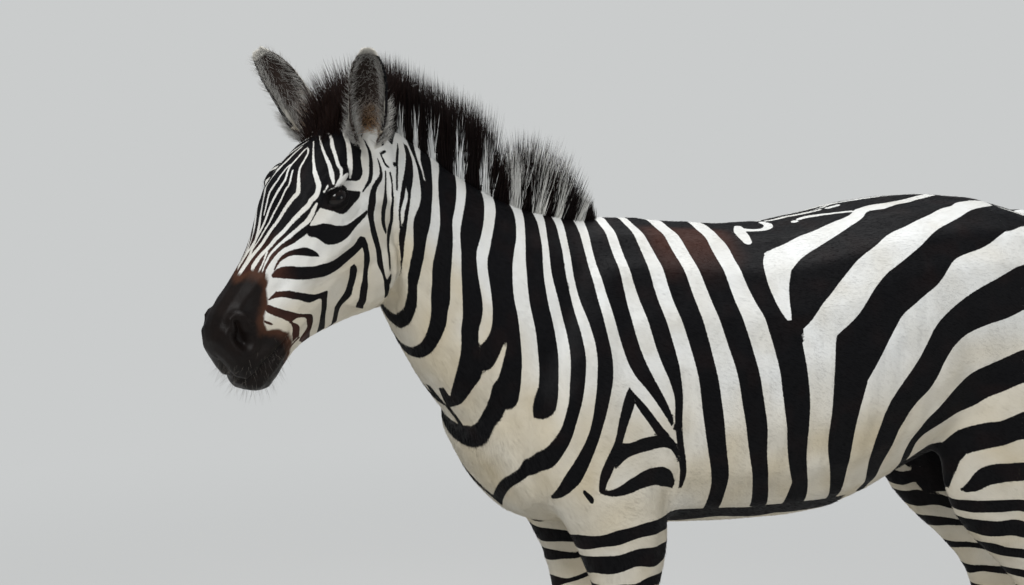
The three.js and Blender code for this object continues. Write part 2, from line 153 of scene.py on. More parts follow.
AXIS_X = (-1200, -900, -850, -750, -650, -560, -390, -100, 160, 440, 660)
AXIS_Z = (1140, 1340, 1330, 1260, 1160, 1060, 1010, 995, 1040, 1080, 1060)
HEAD_FROM = np.array((-850.0, 1330.0))
HEAD_ALONG, HEAD_UP = np.array((-0.8563, -0.5165)), np.array((-0.5165, 0.8563))
HEAD_EDGE = -858.0  # the head map is used ahead of this station
FAR = -60.0  # the distance in mm given to points far outside a band
NEAREST = 25  # a degree is never taken shorter than at this many mm from an axis


def round_axis(y, up):
    """Angle round an axis in degrees (left side positive) and millimetres per degree."""
    return np.degrees(np.arctan2(-y, up)), np.maximum(np.hypot(y, up), NEAREST) * math.pi / 180


def body_map(p):
    """Station, angle in degrees (left side positive) and millimetres per degree."""
    return p[:, 0], *round_axis(p[:, 1], p[:, 2] - np.interp(p[:, 0], AXIS_X, AXIS_Z))


def head_map(p):
    """Distance along the head, angle in degrees (left side positive) and millimetres per degree."""
    q = p[:, [0, 2]] - HEAD_FROM
    return q @ HEAD_ALONG, *round_axis(p[:, 1], q @ HEAD_UP)


def grain(p, cell, seed):
    """Smooth random value from -1 to 1 at each point, with lumps about cell wide."""
    q = np.asarray(p, float) / cell
    i = np.floor(q).astype(np.int64)
    f = q - i
    f = f * f * (3 - 2 * f)
    out = np.zeros(len(q))
    for dx in (0, 1):
        for dy in (0, 1):
            for dz in (0, 1):
                h = ((i[:, 0] + dx) * 73856093) ^ ((i[:, 1] + dy) * 19349663)
                h = h ^ ((i[:, 2] + dz) * 83492791) ^ (seed * 971)
                h = ((h ^ (h >> 13)) * 60493 + 19990303) & 0x7FFFFFFF
                h = ((h ^ (h >> 11)) * 15731 + 789221) & 0x7FFFFFFF
                w = np.abs(1 - dx - f[:, 0]) * np.abs(1 - dy - f[:, 1]) * np.abs(1 - dz - f[:, 2])
                out += w * ((h >> 8) % 4096 / 2047.5 - 1)
    return out


def step(v, low, high):
    """0 below low, 1 above high, smooth between."""
    t = np.clip((v - low) / (high - low), 0, 1)
    return t * t * (3 - 2 * t)


def curve(at, xs, ys):
    """Smooth curve through three or more points, xs rising, and its slope, at the values at."""
    xs, ys = np.asarray(xs, float), np.asarray(ys, float)
    m = np.gradient(ys, xs)
    v = np.clip(at, xs[0], xs[-1])
    k = np.clip(np.searchsorted(xs, v) - 1, 0, len(xs) - 2)
    h = xs[k + 1] - xs[k]
    t = (v - xs[k]) / h
    value = (ys[k] * (1 + 2 * t) * (1 - t) ** 2 + m[k] * h * t * (1 - t) ** 2
             + ys[k + 1] * t * t * (3 - 2 * t) + m[k + 1] * h * t * t * (t - 1))
    slope = (ys[k + 1] - ys[k]) / h
    return value, slope


def smooth_rows(rows, first, count):
    """A table drawn out to count smooth rows, from one of its rows to its last."""
    rows = np.array(rows, float)
    t = np.linspace(first, len(rows) - 1, count)
    return np.column_stack([curve(t, np.arange(len(rows)), column)[0] for column in rows.T])


# ---------------------------------------------------------------- the markings
# Rings are (angle, front edge, rear edge) in the body map, bars are (station, upper angle, lower angle),
# strokes are (station, angle, half width in mm). The same kinds are used on the head with s for the station.
# Angles count from the upper midline on both sides. A table named WHITES holds white bands on dark ground.

BODY_RINGS = [
    [(15, -831, -829), (20, -840, -834), (25, -846, -840), (30, -851, -845), (40, -855, -851), (55, -857, -853)],
    [(12, -812, -802), (20, -818, -803), (30, -830, -810), (40, -840, -820), (46, -842, -823)],
    [(44, -842, -834), (50, -845, -837), (60, -850, -840), (70, -851, -846), (80, -852, -848), (90, -851, -848),
     (100, -850, -846), (110, -849, -845)],
    [(44, -838, -823), (50, -831, -825), (60, -833, -828), (70, -840, -833), (80, -842, -834), (90, -842, -836),
     (100, -842, -836), (110, -849, -838), (120, -848, -838), (130, -846, -837), (140, -841, -836), (150, -837, -834),
     (158, -832, -831)],
    [(0, -784, -730), (5, -794, -739), (10, -800, -744), (15, -793, -750), (20, -795, -759), (30, -795, -764),
     (40, -801, -773), (50, -804, -780), (60, -810, -784), (70, -818, -787), (80, -824, -791), (90, -825, -797),
     (100, -824, -799), (110, -824, -801), (120, -824, -804), (130, -824, -806), (140, -827, -808), (150, -825, -806),
     (160, -816, -801), (170, -808, -795), (180, -806, -793)],
    [(0, -710, -677), (5, -719, -682), (10, -725, -689), (20, -748, -705), (30, -750, -715), (40, -756, -727),
     (50, -760, -733), (60, -763, -735), (70, -767, -738), (80, -771, -740), (90, -774, -742), (100, -778, -744),
     (110, -782, -747), (120, -786, -749), (130, -788, -750), (140, -783, -746), (150, -780, -750), (160, -776, -756),
     (170, -773, -758), (180, -772, -759)],
    [(0, -654, -626), (10, -666, -627), (20, -689, -649), (30, -698, -658), (40, -710, -671), (50, -716, -682),
     (60, -720, -687), (70, -721, -689), (80, -722, -690), (90, -724, -689), (100, -726, -685), (110, -724, -684),
     (120, -726, -687), (130, -724, -694), (140, -722, -700), (145, -722, -675), (150, -721, -682), (155, -720, -690),
     (160, -720, -690), (165, -716, -689), (170, -710, -689), (173, -702, -688)],
    [(0, -600, -569), (10, -602, -563), (20, -630, -585), (30, -640, -597), (40, -650, -610), (50, -662, -614),
     (60, -666, -618), (70, -666, -620), (80, -668, -620), (90, -666, -618), (100, -666, -616), (110, -667, -616),
     (120, -670, -615), (130, -681, -616), (137, -690, -616), (140, -693, -620), (145, -690, -628), (150, -661, -634),
     (155, -663, -643), (160, -661, -645), (165, -660, -645), (170, -659, -645), (175, -658, -645),
     (180, -658, -645)],
    [(0, -540, -519), (5, -547, -527), (10, -548, -518), (20, -568, -532), (30, -575, -540), (40, -582, -547),
     (50, -586, -548), (60, -588, -544), (70, -586, -541), (80, -585, -539), (90, -583, -542), (100, -582, -549),
     (110, -583, -556), (115, -585, -562), (120, -590, -569), (125, -595, -580), (130, -596, -590),
     (132, -596, -595)],
    [(0, -498, -481), (5, -503, -486), (10, -506, -482), (20, -517, -488), (30, -526, -496), (40, -526, -493),
     (50, -523, -493), (60, -518, -492), (70, -515, -486), (80, -517, -486), (90, -521, -489), (100, -530, -500),
     (110, -537, -511), (120, -550, -526), (130, -570, -542), (140, -587, -568), (145, -590, -573), (150, -602, -582),
     (155, -605, -592), (160, -612, -601), (165, -614, -600), (170, -612, -598), (175, -604, -586),
     (180, -592, -573)],
    [(0, -464, -440), (5, -466, -441), (10, -468, -440), (20, -473, -443), (30, -478, -444), (40, -478, -444),
     (50, -476, -442), (60, -469, -440), (70, -460, -434), (80, -461, -430), (90, -464, -432), (95, -467, -439),
     (100, -471, -442), (105, -475, -448), (110, -479, -452), (115, -484, -460), (120, -494, -467), (125, -507, -478),
     (130, -520, -489), (135, -533, -501), (140, -543, -518), (145, -546, -535), (150, -546, -542)],
    [(0, -418, -396), (10, -424, -392), (20, -429, -394), (30, -429, -392), (40, -428, -390), (50, -423, -389),
     (60, -417, -384), (70, -410, -378), (80, -400, -366), (85, -389, -359), (90, -372, -348), (95, -359, -339),
     (100, -347, -329), (105, -334, -323), (110, -322, -319)],
    [(0, -377, -349), (10, -375, -344), (20, -374, -339), (30, -374, -338), (40, -369, -337), (50, -362, -331),
     (60, -356, -324), (70, -349, -315), (80, -341, -311), (90, -324, -306), (95, -320, -304), (100, -320, -305),
     (105, -321, -307), (110, -319, -305), (115, -314, -301), (120, -309, -297), (125, -305, -291), (130, -300, -288),
     (135, -296, -287), (140, -294, -290)],
    [(0, -334, -293), (10, -329, -289), (20, -317, -281), (30, -312, -276), (40, -311, -270), (50, -305, -266),
     (60, -296, -259), (70, -287, -251), (80, -282, -248), (90, -274, -239), (100, -272, -234), (110, -267, -230),
     (120, -253, -220), (130, -243, -209), (135, -238, -207), (140, -233, -207), (145, -238, -206), (155, -232, -204),
     (165, -225, -200), (173, -219, -200)],
    [(0, -266, -210), (10, -261, -208), (20, -253, -208), (30, -249, -202), (40, -244, -199), (50, -236, -194),
     (60, -230, -187), (70, -219, -176), (80, -211, -171), (90, -202, -162), (100, -198, -157), (110, -189, -150),
     (120, -179, -147), (130, -166, -137), (140, -151, -119), (150, -146, -112), (160, -140, -108),
     (170, -133, -105)],
    [(60, -146, -86), (66, -142, -83), (70, -137, -84), (80, -132, -81), (90, -125, -76), (100, -122, -73),
     (105, -117, -76), (110, -115, -74), (115, -110, -72), (120, -105, -70), (125, -100, -67), (130, -91, -60),
     (135, -81, -52), (140, -71, -44), (145, -65, -44), (150, -62, -38), (160, -56, -34), (170, -50, -32)],
    # the shoulder triangle
    [(90.5, -404, -402), (95, -411, -390), (100, -416, -395), (105, -421, -400), (110, -426, -408), (115, -430, -415),
     (118, -433, -417), (121, -442, -425), (125, -449, -428), (130, -461, -441), (133, -461, -449),
     (136, -460, -449)],
    [(90.5, -404, -402), (95, -398, -384), (100, -390, -369), (105, -373, -354), (110, -360, -340),
     (113, -352, -326)],
]
BODY_RING_WHITES = [
    [(0, -766, -748), (5, -776, -758), (10, -782, -768), (15, -787, -780), (20, -784, -778), (27, -783, -780)],
    [(115, -646, -643), (120, -651, -645), (130, -658, -650), (140, -668, -657), (150, -682, -661), (155, -690, -664),
     (160, -690, -661), (170, -689, -658), (178, -688, -660)],
]
BODY_BARS = [
    [(-430, 118, 127), (-414, 117, 123.8), (-400, 117.2, 121.6), (-390, 115.4, 121), (-380, 114.4, 120.6),
     (-360, 114.4, 121), (-348, 112, 119.6), (-333, 112.5, 118.4), (-322, 114, 119.6), (-313, 117, 122.3),
     (-308, 121, 126)],
    [(-449, 134.8, 136.2), (-434, 134, 136), (-416, 131.8, 135), (-400, 129.8, 134.3), (-380, 127.6, 133.2),
     (-367, 126.9, 132.6), (-348, 128.6, 134), (-330, 127.3, 136.5), (-314, 129.3, 139), (-304, 136, 140)],
    [(-716, 173, 177), (-700, 173, 179), (-685, 173, 181), (-670, 173, 181), (-650, 173, 181)],
]
BODY_STROKES = [
    [(-802, 1, 4), (-822, 6, 4), (-838, 11, 5), (-850, 17, 5)],
    [(-851, 32, 3), (-870, 33, 3)],
    [(-493, 138, 4), (-476, 139, 6)],
]
# The rear of the barrel, the back and the rump are black ground from RUMP_FRONT on, with white bands on it.
RUMP_FRONT = [
    (0, -184), (5, -180), (10, -179), (17, -180), (20, -175), (30, -171), (40, -167), (50, -158), (60, -146),
    (66, -142)]
LOW_RUMP_FRONT = -84  # the same below the table's last angle
RUMP_END = 366.0
NECK_END = -872  # the body's bands end here, under the head's
RUMP_RING_WHITES = [
    [(26, -104, -90), (29, -117, -80), (32, -121, -75), (36, -126, -66), (40, -127, -84), (46, -125, -90),
     (50, -121, -94), (55, -117, -97), (59, -110, -98.5), (61, -103, -99)],
    [(70, -84, -16), (73, -83.5, -21), (77, -83, -24), (83, -80, -27), (88, -76.4, -28.4), (95, -74, -29),
     (100, -73, -30), (105, -76, -33), (110, -74, -34), (115, -72, -33), (120, -70, -29), (125, -67, -25),
     (130, -60, -15), (135, -52, -9), (140, -44, 0), (145, -44, 4), (150, -38, 10), (160, -34, 16), (170, -32, 20)],
    [(93, 40, 134), (97, 34, 122), (100, 32, 109), (105, 23, 84), (110, 21, 80), (115, 20, 75), (120, 20, 70),
     (125, 18, 63), (130, 19, 63), (135, 23, 69), (140, 27, 73), (145, 28, 78), (150, 30, 84), (160, 36, 88),
     (170, 40, 90)],
    [(121, 116, 178), (125, 110, 160), (130, 107, 150), (135, 103, 150), (140, 100, 149), (145, 100, 152),
     (150, 104, 160), (160, 108, 166), (170, 110, 170)],
]
RUMP_BAR_WHITES = [
    [(-110, 26.8, 40), (-100, 25.7, 40), (-84, 24.5, 40), (-74, 24.1, 37.9), (-60, 23.4, 35.4), (-46, 22, 32.9),
     (-30, 21, 31.2), (-10, 20.5, 29.8), (10, 20, 27.9), (30, 17.9, 26.2), (50, 16.5, 24.8), (70, 15.8, 22.6),
     (90, 14.7, 21.2), (100, 10.1, 20.1), (106, 10, 17.9), (114, 9.7, 15.9), (126, 8.3, 14), (142, 7.3, 14.6),
     (154, 7, 15.9), (166, 7.7, 14), (182, 8.6, 12.3), (200, 7, 11.8), (210, 6, 11.2), (222, 5, 10.7),
     (230, 4.6, 8.4), (250, 2.5, 6), (274, 0.4, 4.6), (292, -2, 1.2)],
    [(-78, 64.6, 75), (-66, 63.2, 75), (-54, 60.4, 74), (-42, 57.9, 73), (-32, 55.4, 72.5), (-20, 54, 71.5),
     (-10, 52, 69.7), (4, 49, 68.3), (18, 47, 66.4), (30, 44.6, 64.3), (44, 42.3, 61.3), (58, 40.4, 57.3),
     (72, 39.2, 54.6), (86, 38, 52), (100, 36.5, 49.8), (120, 33.2, 48.2), (140, 31.5, 46.2), (160, 30.9, 43.5),
     (176, 29.6, 42.2), (196, 27.6, 38.9), (210, 26.8, 36.8), (230, 25.1, 34.1), (246, 23.4, 32.6), (258, 21.5, 31.7),
     (280, 21, 29.2), (290, 19, 27.8), (300, 15.7, 26.2), (316, 12.3, 23.8), (330, 9.6, 22), (348, 7.9, 20.6),
     (360, 5.7, 18.4), (376, 5, 16.2), (386, 3, 12.9), (400, -1, 8.4)],
    [(40, 93, 109), (50, 89.8, 110), (60, 86.2, 109), (70, 83.4, 108), (80, 79, 106.5), (90, 76, 104.2),
     (100, 73.2, 102), (110, 70.1, 99.8), (120, 68.4, 97.3), (132, 67.2, 93.7), (148, 65.3, 90.7), (160, 63.7, 85),
     (172, 62.3, 80.1), (180, 61.5, 77.3), (190, 60.4, 75.4), (206, 57.3, 72.8), (214, 55.1, 71.8), (226, 52.3, 70.2),
     (236, 50.4, 69), (250, 49.3, 67.3), (270, 48.6, 65.4), (300, 47.3, 63.4), (320, 45.5, 62.1), (346, 41.7, 60.1),
     (360, 40, 58.4), (376, 38, 57.6)],
    [(116, 121.2, 135), (126, 117.3, 134), (136, 113.4, 132), (150, 109.8, 130), (166, 107.3, 124),
     (176, 104.6, 121.7), (186, 101.2, 119.8), (196, 97.3, 118), (200, 94.6, 117.6), (214, 89.8, 114.3),
     (230, 87, 109.9), (250, 84.8, 106.2), (266, 83.5, 105.4), (280, 83, 103.4), (300, 82, 102.6), (320, 82.2, 101.8),
     (340, 81.5, 100.7), (367, 79.6, 99.3), (376, 79, 98.8)],
    [(171, 135, 146), (174, 132.3, 146), (184, 130.1, 144), (196, 128.7, 143), (212, 128.2, 143), (228, 126.2, 144),
     (240, 124.8, 143), (253, 123.9, 135.7), (258, 123.7, 133.2), (274, 123.2, 131.7), (286, 121.8, 130.5),
     (302, 119.3, 129.1), (316, 117.9, 127.6), (334, 116, 126.4), (350, 114.6, 125.4), (366, 114, 124.3),
     (376, 113.6, 124)],
    [(260, 147.9, 154), (262, 144.6, 153), (264, 141.8, 152), (270, 139.8, 151), (280, 138.5, 145.7),
     (290, 137.6, 143.2), (300, 136.8, 141.5), (316, 135.4, 140.1), (330, 134.3, 139), (350, 133.7, 139.3),
     (369, 132.9, 139.1), (376, 132.6, 138.8)],
    [(281, 151.5, 156), (300, 147.6, 153), (316, 145.4, 152), (332, 144, 150), (350, 143.6, 149), (377, 143.8, 149)],
]
RUMP_STROKE_WHITES = [
    [(-122, 6, 8), (-129, 11, 11), (-132, 16, 11), (-131, 19.5, 8)],
    [(-118, 9, 8), (-100, 10, 6), (-82, 10, 6), (-67, 8, 8), (-61, 5, 8), (-67, 2, 6)],
    [(95, 10.7, 4), (76, 8.2, 4.5), (50, 5.9, 4.5), (20, 4.6, 4), (0, 5.1, 3.5)],
    [(-11, 6.5, 6), (-8, 6.5, 6)],
    [(-55, 0.4, 3), (0, 0.4, 3.5), (55, 0.4, 3)],
    [(70, 0.5, 4), (92, 0.5, 4)],
]

HEAD_RINGS = [
    [(55, 57, 71), (60, 61, 74), (65, 63, 77), (70, 65, 78), (75, 66, 80), (80, 67, 81), (85, 67, 81), (90, 68, 82),
     (95, 69, 82), (100, 70, 84), (105, 71, 86), (110, 71, 88), (115, 74, 90), (120, 78, 93), (125, 81, 91),
     (130, 82, 89), (135, 85, 91), (140, 86, 93), (145, 77, 94), (150, 83, 98), (155, 85, 96)],
    [(80, 95, 108.5), (85, 96, 108.5), (90, 98, 110.5), (95, 99, 114.5), (100, 101, 117.3), (105, 104.4, 119),
     (110, 108, 121.5), (115, 113.3, 126), (120, 120, 131), (125, 122, 137), (130, 125.6, 141), (135, 129, 145.6),
     (140, 133, 149.5), (145, 137.3, 152), (149, 141, 156.7), (153, 144, 152.7), (158, 139.5, 147)],
    [(92, 135, 144), (95, 133, 147), (100, 132, 149), (105, 134, 151), (110, 137, 154), (115, 141, 158),
     (120, 146, 161), (125, 151, 165), (130, 155, 172), (134, 158, 188), (138, 163, 193), (141, 168, 194),
     (145, 180, 194), (150, 181, 195), (155, 183, 195), (160, 184, 197), (165, 185, 198), (180, 188, 198)],
    [(45, 279.4, 300), (50, 271.7, 286), (55, 262.8, 279), (60, 258.3, 273.5), (65, 253.3, 268.5), (70, 247, 264.3),
     (75, 241.5, 259), (80, 236, 253), (85, 231, 250), (90, 223, 245.6), (93, 216.7, 243), (95, 206.7, 240),
     (97, 202, 235.6), (98.5, 201, 228), (100, 200.6, 219), (105, 202.8, 216.7), (110, 204.4, 218.3),
     (115, 206, 219.4), (120, 206.7, 221), (125, 207.8, 221.7), (130, 210, 224), (135, 213.3, 226.7),
     (140, 215.6, 229), (145, 215, 229), (150, 214, 230), (160, 213, 230.5), (165, 213, 231), (180, 214, 231)],
    [(50, 303, 312), (55, 300, 315), (60, 296.7, 312), (65, 293.3, 310), (70, 289.7, 307), (75, 285.6, 303.5),
     (80, 281.7, 300), (85, 277.8, 296.7), (90, 273.3, 293.3), (95, 269.4, 291.7), (100, 265.6, 289),
     (104, 260, 284)],
    [(103, 262, 276), (105, 260, 272), (110, 251, 262), (115, 245.6, 256.7), (118, 241.7, 255.6), (125, 241.7, 256.7),
     (130, 242, 257), (135, 243.3, 256), (140, 246, 257.8), (145, 250, 277), (150, 250.6, 280), (155, 250, 273),
     (160, 248, 267), (180, 246, 262)],
    [(103, 281.7, 288), (107, 281.7, 285.6), (110, 279.4, 285), (115, 275.6, 285.6), (120, 272, 285.6),
     (125, 272, 288), (130, 273.3, 290), (135, 274.4, 293), (140, 275.6, 293.3)],
    [(35, -19, -15), (40, -10.5, -5.5), (45, -3.5, 2.5), (50, 2.5, 11), (53, 5.5, 18), (55, 7.5, 26.5),
     (60, 12.5, 32.5), (65, 21, 39.5), (70, 30, 45), (75, 36, 47.5), (80, 38.3, 48.3), (85, 38.9, 47.8),
     (90, 40, 47.8), (95, 40.6, 46)],
    [(38, -26, -22), (45, -21, -17), (50, -15, -11), (55, -10, -4.5), (60, -6.7, -1), (65, -3.3, 2.8), (70, .6, 8.5),
     (75, 3.5, 12), (80, 6, 16.7), (85, 9.4, 18.9), (90, 12, 21), (95, 15.6, 24.4), (100, 18.9, 45.6),
     (105, 23.9, 46), (110, 31, 48.9), (115, 35.6, 52), (120, 43.3, 57.8), (125, 48.9, 63.3), (130, 53.3, 67.8),
     (134, 57.8, 71), (136.5, 62, 71)],
]
HEAD_BARS = [
    [(70, 51.3, 54.3), (78, 51.7, 55.4), (94, 50.7, 55.7), (110, 50.4, 56), (117, 50, 57.7), (128, 48.2, 58.2),
     (139, 45, 58), (150, 40.4, 56.3), (158, 38, 54.3), (167, 35.3, 52.1), (173, 33.6, 48.2), (178, 31.5, 44.3),
     (180, 30.7, 39.3), (187, 29.8, 36.5)],
    [(96, 72, 84), (98, 70, 84), (104, 65.5, 80), (110, 66.6, 80), (117, 69.3, 80.5), (128, 70, 81),
     (139, 68.2, 81.6), (150, 68, 82), (163, 67, 81.8), (174, 66, 81), (183, 64.3, 79), (192, 61, 77.5),
     (201, 58.8, 73.8), (210, 55.4, 69.3), (222, 49.3, 65), (230, 44.3, 61.5), (237, 39.3, 58), (242, 36, 54),
     (248, 33.2, 48.5), (252, 31.6, 45.5), (258, 29.9, 41), (265, 29, 36), (271, 29.5, 32.7)],
]
# bare black skin round the eye
EYE_SURROUND = [
    (65, 38.4, 39.4), (70, 37.6, 41.2), (77, 35.8, 41.7), (84, 34.1, 42), (94, 32.9, 42.3), (104, 32.3, 42.8),
    (112, 31.5, 42.8), (118, 30.6, 42.3), (124, 29.5, 41), (130, 28.6, 38.3), (135, 28.2, 35.6), (141, 28.3, 33.3),
    (147, 29, 30.2)]
# The first and the last stroke start at the ear's base, where their dark is painted shadow as well as dark hair.
HEAD_STROKES = [
    [(-8, 19, 2), (-4, 23, 2.8), (4, 27, 3), (12, 30, 3.5), (20, 33, 3.5), (28, 35.5, 3.2), (38, 37.3, 2.4),
     (50, 38.7, 1.6), (61, 40, .8)],
    [(-13, 27.5, 1.5), (-9, 32, 2.5), (-2, 36, 3), (8, 38.6, 3.2), (20, 40.2, 3.5), (30, 42, 4.5), (38, 44.5, 6),
     (47, 48, 7.5), (55, 51.5, 8), (62, 55, 7.5), (67, 60, 7)],
    [(190, 31, 4), (200, 29, 2.8), (208, 27.8, 2.4), (219, 25, 2.4), (230, 22.5, 2.3), (241, 20.9, 2.3),
     (252, 20.6, 2), (265, 21.5, 1.2)],
    [(192, 51.5, 1.5), (196, 48, 3.5), (201, 45, 5), (207.5, 40, 5.5), (217, 35.5, 4.3), (226, 31.5, 3.5),
     (238, 28.3, 2.5), (250, 27.6, 1.8), (262, 28.8, 1.2)],
    [(277, 143.5, 2), (295, 144.5, 1.6), (318, 145.5, 1.2)],
    [(326, 67, 2), (323, 72, 2), (319, 78, 2), (316.7, 82.5, 1.5)],
    [(73, 143.5, 6), (85, 143.5, 6)],
    [(-27, 25, 2), (-24, 31, 2), (-27, 34, 1.5)],
    [(-40, 24.3, 1.6), (-30, 24.3, 1.6)],
    [(-19, 16, 3), (-11, 16, 3)],
]
# The forehead is black ground from FOREHEAD_TOP down to FOREHEAD_EDGE, (s, angle), with fine white lines on it.
FOREHEAD_TOP = -16
FOREHEAD_EDGE = [
    (-14, 15), (-10, 17), (0, 18), (10, 22), (22, 25), (33, 30), (43, 32.3), (50, 33.3), (56, 33.1), (63, 32.2),
    (69, 31), (75, 30.3), (81, 30.3), (88, 30.4), (96, 30.4), (102, 30.4), (107, 31), (113, 31.2), (119, 30.2),
    (127, 29.5), (145, 30.5), (160, 31), (175, 31.5), (190, 33), (200, 31.5), (208, 30), (219, 27.5), (230, 24.8),
    (241, 23), (252, 22.5), (263, 22.5), (272, 23), (280, 26), (300, 30)]
HEAD_WHITES = [
    [(-3, 17.5, 3), (8, 22.5, 3), (22, 26.5, 3.5), (33, 31.5, 3.5), (43, 35, 3), (52, 36, 3), (62, 35, 3),
     (72, 32, 3)],
    [(-12, 3, 2.5), (-3, 6.6, 3), (8, 9.9, 3.2), (17, 13.8, 3.4), (28, 18.2, 3.6), (39, 21.6, 4), (50, 24.9, 4.2),
     (59, 27.7, 2.8), (67, 29.9, 1)],
    [(22, 3.2, 1.5), (31, 6.6, 2.2), (38, 9.9, 2.5), (48, 12.7, 3), (57, 16.6, 2.8), (66, 20.4, 2.8), (74, 24.9, 2.8),
     (83, 28.2, 2.5), (93, 30.4, 1.8), (105, 31.3, 1)],
    [(42, 2.7, 1.2), (50, 5.4, 1.5), (61, 9.3, 1.8), (71, 13.8, 2.5), (78, 17.7, 3.2), (87, 21.6, 3.7),
     (96, 24.9, 3.8), (105, 28.2, 2.8), (110, 30, 1.5)],
    [(56, 2.1, 1), (67, 4.9, 1.2), (78, 7.7, 1.5), (89, 10.4, 1.8), (99, 13.2, 2.2), (108, 16, 3.5), (116, 19.6, 4.2),
     (123, 22.6, 4.3), (130, 24, 4.3), (138, 24.5, 3.8), (150, 24, 3.6), (158, 24.3, 3.6), (174, 22.7, 3.5),
     (191, 20.4, 3.4), (208, 17.9, 3.4), (224, 14.9, 3), (241, 12.9, 2.8), (258, 10.4, 3.5), (272, 9.9, 4),
     (280, 10.4, 3.5), (289, 13.2, 1.5)],
    [(248, 14, 1.3), (266, 16.5, 1.3), (283, 18.5, 1.3)],
    [(73, 2.7, 1.2), (83, 4.9, 1.5), (100, 6.3, 1.6), (114, 7.4, 1.8), (123, 8.8, 2), (133, 11, 2.4), (143, 13.2, 3),
     (152, 14.9, 3.6), (163, 13.5, 3), (180, 11.8, 2.8), (197, 10.2, 2.8), (213, 7.7, 3), (230, 5.7, 3),
     (247, 4.1, 3.2), (263, 1.8, 3.4), (280, .7, 4), (297, 1, 3), (308, 1.6, 1)],
    [(117, 27.6, .8), (119.5, 28.2, 1.8), (124.8, 28.3, 1), (128, 28, 1.4)],
    [(146, 27.7, 1.5), (158, 28.5, 3), (174, 29.1, 3.6), (191, 26.8, 2.6), (208, 24.3, 2.6), (224, 21.3, 2.4),
     (236, 18.8, 2.2), (247, 17.7, 1.8), (258, 18.2, 1.6), (269, 19.3, 1.2), (279, 21.6, .8)],
]
# Lines of the blaze that lie on or across the middle of the face, so they aren't mirrored.
BLAZE_WHITES = [
    [(70, -2.9, 1.8), (89, -5.1, 1.8), (106, -6.2, 2), (117, -8.4, 2), (123, -10.7, 1.8)],
    [(113, 0, 1.5), (123, -2, 2), (139, -3.2, 2.3), (144, -2.9, 2.3), (152, -4.8, 2.4), (161, -6.8, 2.4),
     (169, -7, 2.2), (177, -6.5, 2), (195, -5.8, 1.6)],
    [(72, 2, 1.2), (80, 1.3, 1.3), (100, 1, 1.5), (122, .7, 1.8), (140, 2.7, 2), (150, 2.4, 2.2), (163, .7, 2.4),
     (174, -.4, 2.5), (186, -1.5, 2.6), (202, -2, 2.8), (219, -3.2, 2.9), (230, -4.8, 3), (247, -7, 2.8),
     (263, -8.7, 2.6), (280, -9.3, 2.2), (297, -7.9, 1.4)],
    [(122, 3.8, 1.4), (133, 5.2, 1.6), (147, 7.3, 1.7), (156, 6.3, 1.7), (174, 5.7, 1.7), (191, 4.1, 1.6),
     (208, 2.7, 1.6), (224, 1, 1.6), (241, -.9, 1.5), (258, -2.6, 1.2)],
]
# Dark bands of the rump and thigh from RUMP_END to REAR_END, as (station, lower edge, upper edge) in mm of height.
REAR_END = 760
REAR_BARS = [
    [(366, 1246, 1400), (400, 1249, 1400), (440, 1247, 1400), (480, 1240, 1400), (520, 1228, 1400), (560, 1212, 1400),
     (600, 1192, 1400), (650, 1166, 1400)],
    [(366, 1108, 1187), (400, 1111, 1193), (450, 1115, 1197), (500, 1112, 1190), (550, 1103, 1174), (600, 1090, 1150),
     (640, 1076, 1127), (680, 1064, 1106)],
    [(366, 974, 1035), (400, 975, 1037), (450, 978, 1040), (500, 978, 1040), (550, 972, 1033), (600, 963, 1020),
     (640, 955, 1008), (680, 948, 1000)],
    [(366, 868, 921), (400, 868, 921), (450, 870, 923), (500, 872, 923), (550, 869, 918), (600, 864, 911),
     (640, 860, 906), (680, 858, 902)],
    [(366, 788, 824), (400, 788, 824), (450, 788, 826), (500, 789, 827), (550, 788, 824), (600, 786, 820),
     (680, 784, 816)],
]
# The dark line along the middle of the croup, and the white hair on either side of it.
DORSAL_STRIPE = [(420, 0, 4), (500, 0, 7), (560, 0, 6), (640, 0, 4), (720, 0, 4)]
CROUP_WHITES = [[(415, 7, 3), (440, 10, 7), (470, 12, 9), (505, 16, 9), (540, 22, 7), (570, 34, 2)]]
# The black skin between the thighs, painted black over the whole box, so it is also painted shade where the thighs and
# belly shade it: its reach in station, to the sides and in height, with a ragged edge.
GROIN = ((225, 430), (-92, 92), (705, 872))
# Where the dark bare muzzle starts, as (angle, s).
MUZZLE_EDGE = [
    (0, 302), (5, 300), (10, 290), (15, 285), (20, 281), (25, 280), (30, 280), (35, 293), (40, 303), (45, 308),
    (50, 312), (55, 322), (60, 327), (86, 330), (92, 323), (97, 319), (104, 312), (109, 308), (115, 302), (120, 300),
    (140, 302), (160, 306), (180, 308)]


def fair(rows):
    """The table with each inner reading drawn halfway to the line between its neighbours."""
    rows = np.array(rows, float)
    t = ((rows[1:-1, 0] - rows[:-2, 0]) / (rows[2:, 0] - rows[:-2, 0]))[:, None]
    rows[1:-1, 1:] = 0.5 * (rows[1:-1, 1:] + rows[:-2, 1:] * (1 - t) + rows[2:, 1:] * t)
    return rows


def ring(u, v, k, rows):
    """Signed distance in mm inside a band whose two edges run round the body."""
    rows = fair(rows)
    a, slope_a = curve(v, rows[:, 0], rows[:, 1])
    b, slope_b = curve(v, rows[:, 0], rows[:, 2])
    d = np.minimum((u - a) / np.hypot(1, slope_a / k), (b - u) / np.hypot(1, slope_b / k))
    # a band that stops short of a midline has an end there
    if rows[0, 0] > 0.6:
        d = np.minimum(d, (v - rows[0, 0]) * k + 1)
    if rows[-1, 0] < 179:
        d = np.minimum(d, (rows[-1, 0] - v) * k + 1)
    return d


